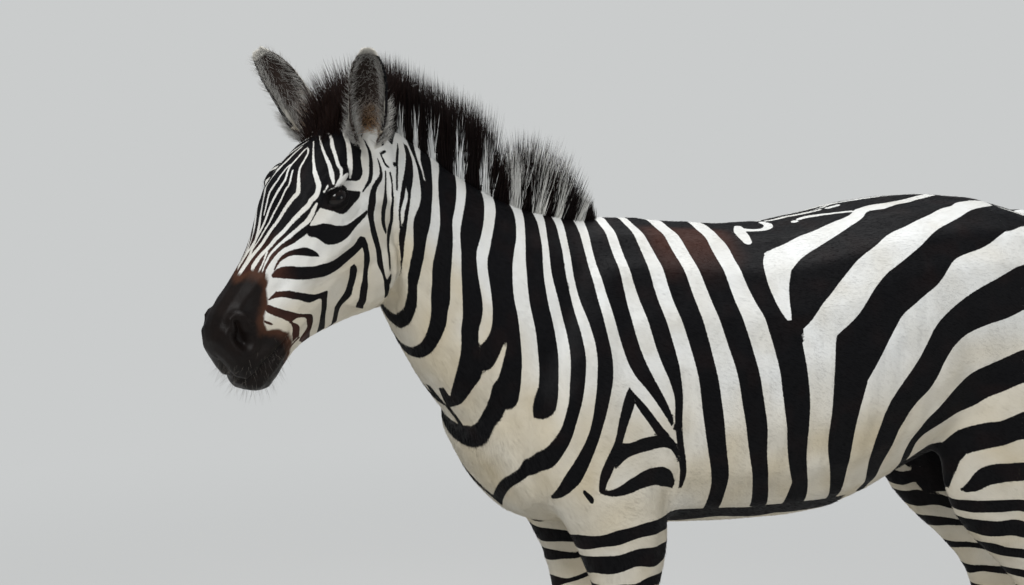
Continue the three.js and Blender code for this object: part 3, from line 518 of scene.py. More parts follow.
def bar(u, v, k, rows):
    """Signed distance in mm inside a band whose two edges run along the body."""
    rows = fair(rows)
    a, slope_a = curve(u, rows[:, 0], rows[:, 1])
    b, slope_b = curve(u, rows[:, 0], rows[:, 2])
    d = np.minimum((v - a) * k / np.hypot(1, slope_a * k), (b - v) * k / np.hypot(1, slope_b * k))
    return np.minimum(d, np.minimum(u - rows[0, 0], rows[-1, 0] - u) + 1)


UNREACHED = -99.0  # the distance in mm given to points beyond a stroke's margin


def stroke(u, v, k, rows, margin=20.0):
    """Signed distance in mm inside a line of changing width, worked out only within the margin round it."""
    rows = np.array(rows, float)
    pts = smooth_rows(rows, 0, 3 * (len(rows) - 1) + 1) if len(rows) > 2 else rows
    best = np.full(len(u), UNREACHED)
    near = (u > rows[:, 0].min() - margin) & (u < rows[:, 0].max() + margin)
    near &= np.abs(v - rows[:, 1].mean()) * k < np.ptp(rows[:, 1]) * k + margin + 5
    if not near.any():
        return best
    uu, vv, kk = u[near], v[near], k[near]
    found = np.full(len(uu), UNREACHED)
    for a, b in zip(pts[:-1], pts[1:]):
        ax, ay = uu - a[0], (vv - a[1]) * kk
        bx, by = b[0] - a[0], (b[1] - a[1]) * kk
        t = np.clip((ax * bx + ay * by) / np.maximum(bx * bx + by * by, 1e-9), 0, 1)
        found = np.maximum(found, a[2] + (b[2] - a[2]) * t - np.hypot(ax - t * bx, ay - t * by))
    best[near] = found
    return best


def widest(kind, tables, u, v, k):
    """Signed distance in mm inside any of the bands of one kind, which is ring, bar or stroke."""
    out = np.full(len(u), FAR)
    for rows in tables:
        out = np.maximum(out, kind(u, v, k, rows))
    return out


# Middle lines of the legs: stations at heights, and distances from the midline at heights, in mm.
HIND_FROM, FORE_STATION = 60, -385  # a leg behind the first station is a hind leg; forelegs stand at the second
HIND_STATIONS = ((60, 205, 340, 480, 650, 800), (473, 500, 500, 510, 436, 420))
HIND_APART, FORE_APART = ((60, 480, 800), (98, 118, 135)), ((60, 600), (130, 118))


def legs_map(p):
    """For each point: whether it is on a hind leg, its height, and its angle round the leg, 0 in front, 90 outside."""
    hind, z = p[:, 0] > HIND_FROM, p[:, 2]
    axis = np.where(hind, np.interp(z, *HIND_STATIONS), FORE_STATION)
    apart = np.where(hind, np.interp(z, *HIND_APART), np.interp(z, *FORE_APART))
    return hind, z, np.degrees(np.arctan2(np.abs(p[:, 1]) - apart, -(p[:, 0] - axis)))


LEG_RINGS, LEG_TOP = 16, 770  # number of dark rings on a leg, and the height in mm where the leg's own pattern starts
LEG_SIDE = 20  # points nearer to the middle than this aren't on a leg


def leg_rings(p, side):
    """Signed distance in mm inside the dark rings of the legs."""
    hind, z, angle = legs_map(p)
    out = np.full(len(p), -40.0)
    lumps = 7 * grain(np.column_stack([np.abs(p[:, :2]) + 400 * side[:, None], z]), 38, 5)
    angle = np.radians(angle)
    inner = 5.5 * step(-np.sin(angle), 0.1, 0.9)
    for k in range(LEG_RINGS):
        z0 = np.where(hind, 722 - 50 * k + 0.7 * k * (k + 1), 742 - 50 * k + 0.6 * k * (k + 1))
        tilt = np.where(hind, 16, -13) * np.cos(angle) * (1 - k / 18) + 6 * np.sin(angle + k)
        half = 14.0 - 0.5 * k + 2.5 * np.sin(1.7 * k)
        out = np.maximum(out, np.maximum(half - inner, 4.5) - np.abs(z + lumps - z0 - tilt))
    # the hair above the hoof is dark all round
    return np.maximum(out, 92 - z + 6 * np.cos(angle))


def ear_tip(side):
    """The highest point of an ear's CAD node, with the neck straight."""
    points = unbend([v.co[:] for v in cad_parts["ear_" + side].data.vertices])
    return points[points[:, 2].argmax()]


# The ears' roots, the lines from there to their tips, and the ways they open, left and right.
EAR_ROOTS = np.array(((-920.0, -61.0, 1464.0), (-920.0, 61.0, 1464.0)))
EAR_AXES = np.array([ear_tip(side) for side in SIDES]) - EAR_ROOTS
EAR_FACINGS = np.array(((-0.57, -0.82, 0.0), (-0.96, -0.25, 0.0)))
# How far the ear's edge stands to its open side, in mm, at shares of its height.
EAR_RIM = ((0.15, 0.3, 0.5, 0.7, 0.85, 0.95), (31, 18.5, 5.3, 2.2, 3.5, 5))
EAR_STATION, EAR_CUP = -850, 42  # ears lie ahead of this station, their hollow within so many mm of the axis
EAR_START, EAR_FOOT = 1470, 1478  # heights in mm where the ears begin and where they stand free of the head


def ear_map(p):
    """For each point, about the nearer ear: its axis, how far up it the point is from 0 to 1, how far the point
    lies to the open side and how far from the axis, in mm, and the way the ear opens."""
    right = (p[:, 1] > 0).astype(int)
    root, axis, facing = EAR_ROOTS[right], EAR_AXES[right], EAR_FACINGS[right]
    length = np.linalg.norm(axis, axis=1)
    up = np.sum((p - root) * axis, axis=1) / length
    away = p - root - axis * (up / length)[:, None]
    return axis, up / length, np.sum(away * facing, axis=1), np.linalg.norm(away, axis=1), facing


def on_ear(p):
    """True for straight-neck points on an ear."""
    _, up, _, away, _ = ear_map(p)
    return (up > 0.13) & (away < 75) & (p[:, 0] < EAR_STATION)


def rear_marks(p, side, at, ahead):
    """Signed distance in mm inside the black bands behind RUMP_END, blended there with the distances from ahead."""
    lift = 9 * side * grain(p, 130, 41) + 3 * grain(p, 60, 42)
    height = p[:, 2] + lift * step(p[:, 0], RUMP_END, RUMP_END + 54)
    bars = [rows + [(REAR_END, *rows[-1][1:])] for rows in REAR_BARS]
    dark = widest(bar, bars, p[:, 0], height, np.ones(len(p)))
    # the bands fade out between the thighs and at the tail's root
    between = step(-np.abs(p[:, 1]), -75, -40) * step(-p[:, 2], -930, -880)
    root = step(-np.abs(p[:, 1]), -62, -45) * step(p[:, 0], 575, 605) * step(p[:, 2], 1095, 1125)
    dark = dark - 30 * (between + root)
    dark = np.minimum(dark, -widest(stroke, CROUP_WHITES, *at))
    dark = np.maximum(dark, stroke(*at, DORSAL_STRIPE))
    far = step(p[:, 0], RUMP_END - 2, RUMP_END + 4)
    spine = np.minimum(-bar(*at, RUMP_BAR_WHITES[1]), -FAR)
    return ahead * (1 - far) + far * np.minimum(dark, spine)


def body_marks(p, side):
    """Signed distance in mm inside the black bands of neck, barrel and rump."""
    u, v, k = body_map(p)
    free = side * step(np.abs(v), 6, 35) * step(180 - np.abs(v), 6, 35)
    flat = np.column_stack([u, v * 1.6, v * 0])
    u = u + 13 * free * grain(flat, 120, 11) + 4 * free * grain(flat, 45, 12)
    w = np.abs(v)
    d = np.maximum(widest(ring, BODY_RINGS, u, w, k), widest(bar, BODY_BARS, u, w, k))
    d = np.maximum(d, widest(stroke, BODY_STROKES, u, w, k))
    d = np.minimum(d, -widest(ring, BODY_RING_WHITES, u, w, k))
    # the rump's black ground, with straight ends where it meets the rings and the thigh
    ground = np.where(w < RUMP_FRONT[-1][0], u - curve(w, *zip(*RUMP_FRONT))[0], u - LOW_RUMP_FRONT)
    ground = np.minimum(ground, RUMP_END + 2 - p[:, 0])
    whites = np.maximum(widest(ring, RUMP_RING_WHITES, u, w, k), widest(bar, RUMP_BAR_WHITES, u, w, k))
    whites = np.maximum(whites, widest(stroke, RUMP_STROKE_WHITES, u, w, k))
    d = np.maximum(d, np.minimum(ground, -whites))
    d = np.where(p[:, 0] < NECK_END, FAR, d)
    rear = p[:, 0] > RUMP_END - 4
    if rear.any():
        d[rear] = rear_marks(p[rear], side[rear], (u[rear], w[rear], k[rear]), d[rear])
    return d


def head_marks(p, side):
    """Signed distance in mm inside the black bands of the head."""
    s, a, h = head_map(p)
    free = side * step(np.abs(a), 8, 30) * step(180 - np.abs(a), 8, 30)
    flat = np.column_stack([s, a, a * 0])
    # s2 and b are the right side's own version of s and the angle
    s2 = s + 4.0 * free * grain(flat, 42, 21)
    b = np.abs(a) + 1.6 * free * grain(flat, 42, 22)
    d = np.maximum(widest(ring, HEAD_RINGS, s2, b, h), widest(bar, HEAD_BARS, s2, b, h))
    d = np.maximum(d, widest(stroke, HEAD_STROKES, s2, b, h))
    forehead = np.minimum((curve(s2, *zip(*FOREHEAD_EDGE))[0] - b) * h, s2 - FOREHEAD_TOP)
    forehead = np.minimum(forehead, -widest(stroke, HEAD_WHITES, s2, b, h))
    forehead = np.minimum(forehead, -widest(stroke, BLAZE_WHITES, s, a, h))
    return np.maximum(np.maximum(d, forehead), bar(s, np.abs(a), h, EYE_SURROUND))


def markings(p):
    """Signed distance in mm, positive in black hair and negative in white, at straight-neck points.

    The left side is as the tables say. The right side's bands wander from them and meet the left's at the midlines."""
    p = np.asarray(p, float)
    side = (p[:, 1] > 0).astype(float)
    d = np.where(p[:, 0] < HEAD_EDGE, head_marks(p, side), body_marks(p, side))
    d = np.where(on_ear(p), -30, d)
    legs = (p[:, 2] < LEG_TOP) & (np.abs(p[:, 1]) > LEG_SIDE)
    d[legs] = np.maximum(d[legs] - step(LEG_TOP - p[legs, 2], 0, 30) * 200, leg_rings(p[legs], side[legs]))
    # the black between the thighs: black skin, and painted shade where the thighs shade it
    groin = np.min([np.minimum(c - low, high - c) for c, (low, high) in zip(p.T, GROIN)], axis=0)
    return np.clip(np.maximum(d, groin + 5 * grain(p, 35, 43)), -30, 30)


def muzzle_depth(p):
    """Millimetres inside the dark muzzle, negative on the haired face."""
    s, a, _ = head_map(p)
    edge = curve(np.abs(a), *zip(*MUZZLE_EDGE))[0]
    return np.where(p[:, 0] < HEAD_EDGE, s - edge, -200)


# ---------------------------------------------------------------- the skin

MOST_TRIANGLES = 200000  # of any one piece
HIDE_TRIANGLES = 198000
HOOF_SINK, HOOF_LIFT, EYE_SWELL = -0.003, 0.006, 0.0022  # metres, so the hide closes over hoof and eye
LEG_SEAM = (0.594, 0.603)  # heights in metres where the fine legs end and the barrel begins
LID_HEIGHT, EYE_DEPTH = 0.0022, 0.005  # of the hide over the eyeball's surface, and under it in the opening


def unit(vectors):
    """The same directions, one unit long."""
    return vectors / np.linalg.norm(vectors, axis=1)[:, None]


def node_copy(names, grow):
    """A joined, welded copy of CAD nodes, swollen by grow metres, which closes the thin cuts between them."""
    joined = bmesh.new()
    for name in names:
        one = bmesh.new()
        one.from_mesh(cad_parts[name].data)
        bmesh.ops.remove_doubles(one, verts=one.verts, dist=1e-5)
        one.normal_update()
        amount = HOOF_SINK if name in HOOVES else EYE_SWELL if "eye" in name else grow
        for v in one.verts:
            v.co += v.normal * amount
            if name in HOOVES:
                v.co.z += HOOF_LIFT
        part = bpy.data.meshes.new("part")
        one.to_mesh(part)
        joined.from_mesh(part)
        one.free()
        bpy.data.meshes.remove(part)
    mesh = bpy.data.meshes.new("joined")
    joined.to_mesh(mesh)
    joined.free()
    return mesh


def evaluated(mesh, add_modifier):
    """The mesh with one modifier's result applied."""
    obj = bpy.data.objects.new("work", mesh)
    bpy.context.scene.collection.objects.link(obj)
    add_modifier(obj)
    graph = bpy.context.evaluated_depsgraph_get()
    out = bpy.data.meshes.new_from_object(obj.evaluated_get(graph))
    bpy.data.objects.remove(obj)
    return out


def voxel_skin(names, voxel):
    """One closed skin round CAD nodes."""
    def remesh(obj):
        m = obj.modifiers.new("skin", "REMESH")
        m.mode, m.voxel_size = "VOXEL", voxel
    return evaluated(node_copy(names, 0.001), remesh)


def cut(mesh, planes):
    """Keeps what lies on the inner side of each plane (point, outward direction)."""
    bm = bmesh.new()
    bm.from_mesh(mesh)
    for point, out in planes:
        everything = bm.verts[:] + bm.edges[:] + bm.faces[:]
        bmesh.ops.bisect_plane(bm, geom=everything, plane_co=point, plane_no=out, clear_outer=True, dist=1e-5)
    bm.to_mesh(mesh)
    bm.free()


def zip_rims(bm, first, second, normal):
    """Joins two nearly matching open rims with a strip of triangles, by the angle round their common middle."""
    normal = Vector(normal).normalized()
    side = normal.orthogonal().normalized()
    up = normal.cross(side)
    middle = sum((v.co for v in first), Vector()) / len(first)

    def angle(v):
        q = v.co - middle
        return math.atan2(q.dot(up), q.dot(side))
    a, b = sorted(first, key=angle), sorted(second, key=angle)
    i = j = 0
    while i < len(a) or j < len(b):
        next_a = angle(a[i]) if i < len(a) else math.inf
        next_b = angle(b[j]) if j < len(b) else math.inf
        pa, pb = a[(i - 1) % len(a)], b[(j - 1) % len(b)]
        if next_a < next_b:
            bm.faces.new((pa, a[i], pb))
            i += 1
        else:
            bm.faces.new((pa, b[j], pb))
            j += 1


def rim_vertices(bm, point, normal, near):
    """Open-edge vertices close to a plane, in separate groups near the given centres."""
    point, normal = Vector(point), Vector(normal).normalized()
    rim = [v for v in bm.verts if v.is_boundary and abs((v.co - point).dot(normal)) < 2e-4]
    groups = [[] for _ in near]
    for v in rim:
        groups[min(range(len(near)), key=lambda n: (v.co - Vector(near[n])).length)].append(v)
    return groups


def mesh_arrays(mesh):
    """Vertex places and the two ends of each edge."""
    co = np.zeros(len(mesh.vertices) * 3)
    mesh.vertices.foreach_get("co", co)
    ends = np.zeros(len(mesh.edges) * 2, np.int32)
    mesh.edges.foreach_get("vertices", ends)
    return co.reshape(-1, 3), ends.reshape(-1, 2)


def vertex_normals(mesh):
    """The mesh's vertex normals, one row each."""
    out = np.zeros(len(mesh.vertices) * 3, np.float32)
    mesh.vertex_normals.foreach_get("vector", out)
    return out.reshape(-1, 3).astype(float)


def relax(co, ends, rounds, weight):
    """Smooths away facets and keeps the volume."""
    n = len(co)
    a, b = ends[:, 0], ends[:, 1]
    count = np.maximum(np.bincount(a, minlength=n) + np.bincount(b, minlength=n), 1)
    for turn in range(rounds * 2):
        amount = weight * (0.5 if turn % 2 == 0 else -0.53)
        move = np.empty_like(co)
        for c in range(3):
            move[:, c] = (np.bincount(a, co[b, c], n) + np.bincount(b, co[a, c], n)) / count - co[:, c]
        co = co + move * amount[:, None]
    return co


# Raised (+) and sunk (-) forms of the head in the head map: points (s, angle), reach in mm, height in mm.
NOSTRIL = [(371, 42), (380, 58), (376, 74)]
HEAD_RELIEF = [
    (NOSTRIL, 11.5, -17.0),
    ([(358, 40), (352, 58), (358, 82), (378, 96)], 9.0, 3.6),   # the nostril's outer wing
    ([(392, 38), (400, 58), (394, 84)], 9.0, 3.0),
    ([(298, 125.5), (307, 128.5), (320, 131), (347, 129.5), (366, 128), (379, 134.5), (392, 142), (401, 154),
      (407, 168), (409, 180)], 3.0, -5.5),                  # mouth
    ([(312, 117), (340, 116), (368, 114), (388, 124)], 9.0, 2.2),   # upper lip
    ([(318, 144), (345, 146), (372, 150), (392, 166)], 8.0, 2.6),   # lower lip
    ([(366, 166), (366, 180)], 15.0, 3.0),                  # chin
    ([(292, 118), (290, 128)], 3.0, -1.6), ([(283, 122), (282, 131)], 3.5, -1.0),   # folds at the corner of the mouth
    ([(128, 62), (165, 63), (205, 61), (232, 58)], 9.0, 3.2),   # facial crest
    ([(150, 82), (200, 80), (240, 76)], 14.0, -2.2),
    ([(170, 24), (230, 23), (300, 24), (340, 24)], 10.0, 1.8),  # edge of the nasal bone
    ([(262, 46), (300, 45), (330, 42)], 12.0, -2.6),
    ([(62, 17), (74, 19)], 13.0, -4.0),                     # hollow above the eye
    ([(64, 47), (30, 54), (0, 62)], 8.0, 2.6),              # cheekbone arch
    ([(96, 108), (125, 112)], 34.0, 3.0),                   # cheek muscle
    ([(26, 92), (44, 118), (62, 142), (84, 166)], 8.0, -3.0),   # behind the jaw
    ([(236, 68), (215, 80), (196, 96), (186, 116)], 2.6, 0.9), ([(215, 80), (180, 84), (150, 92)], 2.6, 0.7),   # veins
    ([(122, 47), (104, 50), (84, 49)], 3.4, -1.4), ([(134, 52), (110, 57), (84, 56)], 4.0, -0.9),  # folds under the eye
]
# The same for the body in the body map.
BODY_RELIEF = [
    ([(-300, 84), (-296, 110), (-306, 134), (-318, 150)], 15.0, -5.0),  # behind the shoulder and elbow
    ([(-400, 30), (-440, 62), (-500, 96), (-548, 118)], 26.0, 3.5),     # shoulder blade
    ([(-470, 36), (-520, 64), (-560, 92)], 22.0, -3.0),
    ([(-810, 148), (-740, 142), (-660, 146), (-600, 152)], 13.0, -4.0),  # groove of the neck
    ([(-780, 62), (-700, 72), (-620, 84)], 28.0, 2.5),
    ([(322, 58), (336, 66)], 30.0, 5.0),                    # point of the hip
    ([(230, 74), (262, 92), (268, 112)], 26.0, -5.0),       # flank
    ([(200, 150), (248, 138), (300, 126)], 15.0, -4.0),
    ([(-20, 6), (200, 6), (330, 6)], 10.0, -1.6),           # beside the spine
]


HEAD_SIDE, BODY_SIDE = -856, -850  # the two kinds of relief end at these stations
RIB_PITCH = 41  # mm from rib to rib


def relief(p):
    """Height in mm of the raised and sunk forms at straight-neck points."""
    out = np.zeros(len(p))
    s, a, h = head_map(p)
    u, v, k = body_map(p)
    head, body = p[:, 0] < HEAD_SIDE, p[:, 0] > BODY_SIDE
    for where, at, rows in ((head, (s, np.abs(a), h), HEAD_RELIEF), (body, (u, np.abs(v), k), BODY_RELIEF)):
        for points, reach, height in rows:
            distance = -stroke(*at, [(*point, 0.0) for point in points], 2.2 * reach + 10)
            out += where * height * np.exp(-(distance / reach) ** 2)
    ribs = step(u, -250, -180) * step(-u, -230, -150) * step(np.abs(v), 48, 70) * step(-np.abs(v), -140, -118)
    out += body * ribs * 0.7 * np.sin((u + 0.45 * (np.abs(v) - 90)) / RIB_PITCH * 2 * math.pi)
    out += body * step(p[:, 2], 560, 700) * 0.8 * grain(p, 62, 61)
    hind, z, angle = legs_map(p)
    leg = (z < 620) & (z > 90)
    cannon = step(z, 120, 170) * step(-z, -np.where(hind, 430, 370), -np.where(hind, 390, 340))
    groove = np.exp(-((np.abs(np.abs(angle) - 105)) / 16) ** 2)
    return np.where(leg, -2.4 * cannon * groove, out)


def coat_depth(p):
    """Depth of the coat in mm at straight-neck points: thin on the face and legs, deeper on the body."""
    depth = 2.6 - 1.4 * step(-p[:, 0], 830, 900) - 1.0 * step(-p[:, 2], -640, -480)
    return np.maximum(depth, 0.8)


def comb_directions(p, normal):
    """The way the coat lies at straight-neck points: up the face, back along the neck and barrel, down the legs."""
    x, y, z = p.T
    a, outward, ones = np.abs(head_map(p)[1]), np.sign(y) * 0.25, np.ones(len(p))
    d = np.tile((0.90, 0.0, -0.42), (len(p), 1))
    for share, way in (
            (step(-x, 420, 560), (0.72, 0, -0.62)),  # neck
            (step(x, 330, 560) * step(z, 500, 800), (0.45, 0, -0.9)),  # rump
            (step(-z, -800, -720) * step(-np.abs(y), -120, -60), (1.0, 0, 0)),  # belly
            (step(-z, -780, -640) * (np.abs(y) > 25), (0.10, 0, -1.0)),  # legs
            (step(-x, 845, 875), (0.86, outward * step(-a, -40, -5), 0.45 - 0.75 * step(a, 60, 130))),  # head
            (step(z, EAR_START, 1500) * step(-x, 850, 870), (0.1, outward, 1.0))):  # ears
        way = np.column_stack([part * ones for part in way])
        d = d * (1 - share[:, None]) + share[:, None] * way
    d = turn_vectors(d, x)
    d -= normal * np.sum(d * normal, axis=1)[:, None]
    return d / np.maximum(np.linalg.norm(d, axis=1), 1e-6)[:, None]


def set_values(mesh, name, values, kind="FLOAT"):
    """Stores one value or vector for each vertex under a name."""
    layer = mesh.attributes.get(name) or mesh.attributes.new(name, kind, "POINT")
    if kind == "FLOAT":
        layer.data.foreach_set("value", np.asarray(values, np.float32))
    else:
        layer.data.foreach_set("vector", np.asarray(values, np.float32).ravel())


def get_values(mesh, name, size=1):
    """The values or vectors stored under a name."""
    out = np.zeros(len(mesh.vertices) * size, np.float32)
    mesh.attributes[name].data.foreach_get("value" if size == 1 else "vector", out)
    return out if size == 1 else out.reshape(-1, 3).astype(float)


def paint(mesh, p, normal):
    """Stores the markings and tints of straight-neck points p on the mesh's vertices; normal is each point's direction
    out of the hide.
    """
    x = p[:, 0]
    _, ear_up, ear_open, ear_away, facing = ear_map(p)
    ear = on_ear(p)
    w, a = np.abs(body_map(p)[1]), np.abs(head_map(p)[1])
    on_head = step(-x, 850, 866)
    # ears: bare inside, a dark rim and a dark patch behind, both ending below the white tip
    cup = (ear_up > 0.02) & (ear_away < EAR_CUP) & (x < EAR_STATION)
    inner = cup * step(ear_up, 0.03, 0.12) * step(np.sum(normal * facing, axis=1), 0.0, 0.25)
    rim = ear * step(ear_open - np.interp(ear_up, *EAR_RIM), -5.5, -3.0) * step(ear_up, 0.16, 0.24)
    back = ear * (1 - inner) * step(ear_up, 0.60, 0.66)
    tip = step(ear_up, 0.90, 0.93)
    on_ears = 12 * np.maximum(back, rim) * (1 - tip) - 6
    set_values(mesh, "mark", np.where(ear | (inner > 0.5), on_ears, markings(p)))
    set_values(mesh, "bare", inner * (1 - rim) * (1 - tip))
    # warmth: soiled hair low on the body and on the cheeks
    warm = 0.75 * step(w, 70, 125) * (1 - on_head) * (0.75 + 0.25 * grain(p, 70, 31))
    warm = warm + on_head * (0.12 + 0.38 * step(a, 45, 90))
    warm = warm + 0.12 * grain(p, 45, 32)
    warm = np.where(ear, 0.25 + 0.5 * step(-ear_up, -0.35, -0.1), warm)
    set_values(mesh, "warmth", np.clip(warm, 0, 1))
    # brown: beside the spine behind the withers, where the dark hair is painted lighter as a painted highlight of the
    # light falling on the top of the back, and above the muzzle, whose edge is ragged
    brown = step(x, -350, -290) * step(-x, 130, 190) * step(w, 5, 10) * step(-w, -42, -18)
    muzzle = muzzle_depth(p) + 5.0 * grain(p, 27, 36) + 3.0 * grain(p, 11, 34) + 2.2 * grain(p, 4.5, 35)
    brown = np.maximum(brown, step(muzzle, -85, -25) * (x < HEAD_EDGE))
    set_values(mesh, "brown", np.clip(brown + 0.1 * grain(p, 30, 33), 0, 1))
    set_values(mesh, "muzzle", muzzle)


def follow_markings(mesh, most):
    """Cuts the hide's faces along the markings, up to most triangles.

    Each quad gets the better diagonal, then the edges that show the markings worst are split."""
    co, _ = mesh_arrays(mesh)
    corners = np.zeros(len(mesh.loops), np.int32)
    mesh.loops.foreach_get("vertex_index", corners)
    start, total = np.zeros(len(mesh.polygons), np.int32), np.zeros(len(mesh.polygons), np.int32)
    mesh.polygons.foreach_get("loop_start", start)
    mesh.polygons.foreach_get("loop_total", total)
    quads = corners[start[total == 4][:, None] + np.arange(4)]
    mark = markings(unbend(co))
    middle = markings(unbend(co[quads].mean(axis=1)))
    first, second = (np.abs(middle - mark[quads[:, ends]].mean(axis=1)) for ends in ([0, 2], [1, 3]))
    other = second < first
    quads[other] = np.roll(quads[other], -1, axis=1)
    triangles = corners[start[total == 3][:, None] + np.arange(3)]
    faces = np.concatenate([triangles, quads[:, [0, 1, 2]], quads[:, [0, 2, 3]]])
    mesh.clear_geometry()
    mesh.from_pydata(co.tolist(), [], faces.tolist())
    _, ends = mesh_arrays(mesh)
    between = markings(unbend(co[ends].mean(axis=1)))
    error = np.where(np.abs(between) < 5, np.abs(between - mark[ends].mean(axis=1)), 0)
    bm = bmesh.new()
    bm.from_mesh(mesh)
    bm.edges.ensure_lookup_table()
    worst = np.argsort(-error)[:(most - len(faces)) // 2]
    bmesh.ops.subdivide_edges(bm, edges=[bm.edges[i] for i in worst if error[i] > 0.5], cuts=1)
    bmesh.ops.triangulate(bm, faces=bm.faces[:])
    bm.to_mesh(mesh)
    bm.free()


def open_eyes(co):
    """The hide's points drawn back under the eyeballs in the eyes' openings, and laid over them as lids."""
    for side, (centre, *_) in EYE_FRAMES.items():
        across, height, r, ahead = eye_angles(co, side)
        upper, lower = lid_edges(across)
        near = (r < SOCKET) & (ahead > 0.05)
        opening = near & (np.abs(across) < LID_REACH) & (height < upper) & (height > lower)
        lid = near & ~opening & (r < EYE_RADIUS + LID_HEIGHT)
        reach = np.where(opening, EYE_RADIUS - EYE_DEPTH, np.where(lid, EYE_RADIUS + LID_HEIGHT, r))
        co = centre + (co - centre) * (reach / r)[:, None]
    return co


def build_skin(settings):
    """The whole hide as one closed mesh: fine on the head, coarser on the barrel, its strips joined edge to edge."""
    head = voxel_skin(["head", "ear_left", "ear_right", "neck", "eye_left", "eye_right"], settings.head_voxel)
    body = voxel_skin(FLESH, settings.body_voxel)
    legs = voxel_skin([n for n in FLESH if "leg" in n] + HOOVES, settings.leg_voxel)
    ahead = Vector((-math.cos(TURN), -math.sin(TURN), 0))
    neck_at = [Vector(bend([[x, 0, 1300]])[0]) for x in (BEND_END - 4, BEND_END + 3)]
    down = Vector((0, 0, -1))
    cut(head, [(neck_at[0], -ahead)])
    cut(body, [(neck_at[1], ahead), (Vector((0, 0, LEG_SEAM[1])), down)])
    cut(legs, [(Vector((0, 0, LEG_SEAM[0])), -down)])
    bm = bmesh.new()
    for mesh in (head, body, legs):
        bm.from_mesh(mesh)
        bpy.data.meshes.remove(mesh)
    rims = [rim_vertices(bm, at, ahead, [neck_at[0]])[0] for at in neck_at]
    zip_rims(bm, rims[0], rims[1], ahead)
    feet = []
    for name in sorted(n for n in FLESH if "leg_lower" in n):
        low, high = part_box(name)
        feet.append(((low.x + high.x) / 2, (low.y + high.y) / 2, 0.6))
    tops, bottoms = (rim_vertices(bm, (0, 0, z), down, feet) for z in LEG_SEAM)
    for a, b in zip(tops, bottoms):
        zip_rims(bm, a, b, down)
    bmesh.ops.recalc_face_normals(bm, faces=bm.faces)
    bmesh.ops.triangulate(bm, faces=[f for f in bm.faces if len(f.verts) > 4])
    skin = bpy.data.meshes.new("skin")
    bm.to_mesh(skin)
    bm.free()
    co, ends = mesh_arrays(skin)
    p = unbend(co)
    below_ears = np.ones(len(co)) * (1 - 0.6 * step(p[:, 2], EAR_FOOT, 1500))
    co = relax(co, ends, 18, below_ears)
    trunk = (1 - step(-p[:, 0], 780, 815)) * step(p[:, 2], 560, 640)
    co = relax(co, ends, 16, trunk)
    skin.vertices.foreach_set("co", co.ravel())
    skin.update()
    p = unbend(co)
    co = co + vertex_normals(skin) * ((relief(p) - coat_depth(p)) / 1000)[:, None]
    skin.vertices.foreach_set("co", open_eyes(co).ravel())
    skin.update()
    follow_markings(skin, HIDE_TRIANGLES)
    return skin


# ---------------------------------------------------------------- hair
# Every tuft is a closed, tapered spike. A node tree plants them on a surface that carries two
# directions (comb: the way the hair runs, out: away from the body) and the hair's length.

HAIR_INPUTS = (
    ("Spacing", "NodeSocketFloat", 0.003), ("Density", "NodeSocketFloat", 100000.0), ("Seed", "NodeSocketInt", 1),
    ("Width", "NodeSocketFloat", 0.0015), ("Flatness", "NodeSocketFloat", 0.06), ("Rise", "NodeSocketFloat", 0.2),
    ("Curl", "NodeSocketFloat", 0.0), ("Sink", "NodeSocketFloat", 0.03), ("Spread", "NodeSocketFloat", 0.2),
    ("Sway", "NodeSocketFloat", 0.0), ("Finish", "NodeSocketMaterial", None),
)


# What differs from tuft to tuft: turn to the side and lift, in shares of Spread, and shares of length and width.
HAIR_CHANCES = (("yaw", -1.0, 1.0), ("pitch", -0.6, 0.2), ("long", 0.72, 1.12), ("wide", 0.7, 1.25))
# The sums of the tree, in order: name, operation, and what goes in, a number or the name of a value.
# A plain tuft is a cone with places flat, side and far, and far runs from 0 at the root to 1 at the tip.
HAIR_SUMS = (
    # bowed by Rise, drooping by Curl
    ("left", "SUBTRACT", 2.0, "far"), ("bow", "MULTIPLY", "far", "left"), ("risen", "MULTIPLY", "bow", "Rise"),
    ("late", "POWER", "far", 2.5), ("droop", "MULTIPLY", "late", "Curl"), ("lift", "SUBTRACT", "risen", "droop"),
    # widest below its middle
    ("half turn", "MULTIPLY", "far", math.pi), ("arch", "SINE", "half turn"),
    ("belly", "MULTIPLY_ADD", "arch", -0.32, -0.36), ("width", "MULTIPLY", "side", "belly"),
    ("height", "MULTIPLY_ADD", "flat", "Flatness", "lift"),
    # sunk into its bed by a share of its length, turned and sized by chance
    ("deep", "MULTIPLY", "Sink", "hair"), ("below", "MULTIPLY", "deep", -1.0),
    ("yaw angle", "MULTIPLY", "yaw", "Spread"), ("pitch angle", "MULTIPLY", "pitch", "Spread"),
    ("length", "MULTIPLY", "hair", "long"), ("breadth", "MULTIPLY", "Width", "wide"),
    # pulled to one side, most at its tip
    ("tipwards", "POWER", "along", 1.6), ("pull", "MULTIPLY", "tipwards", "Sway"),
)


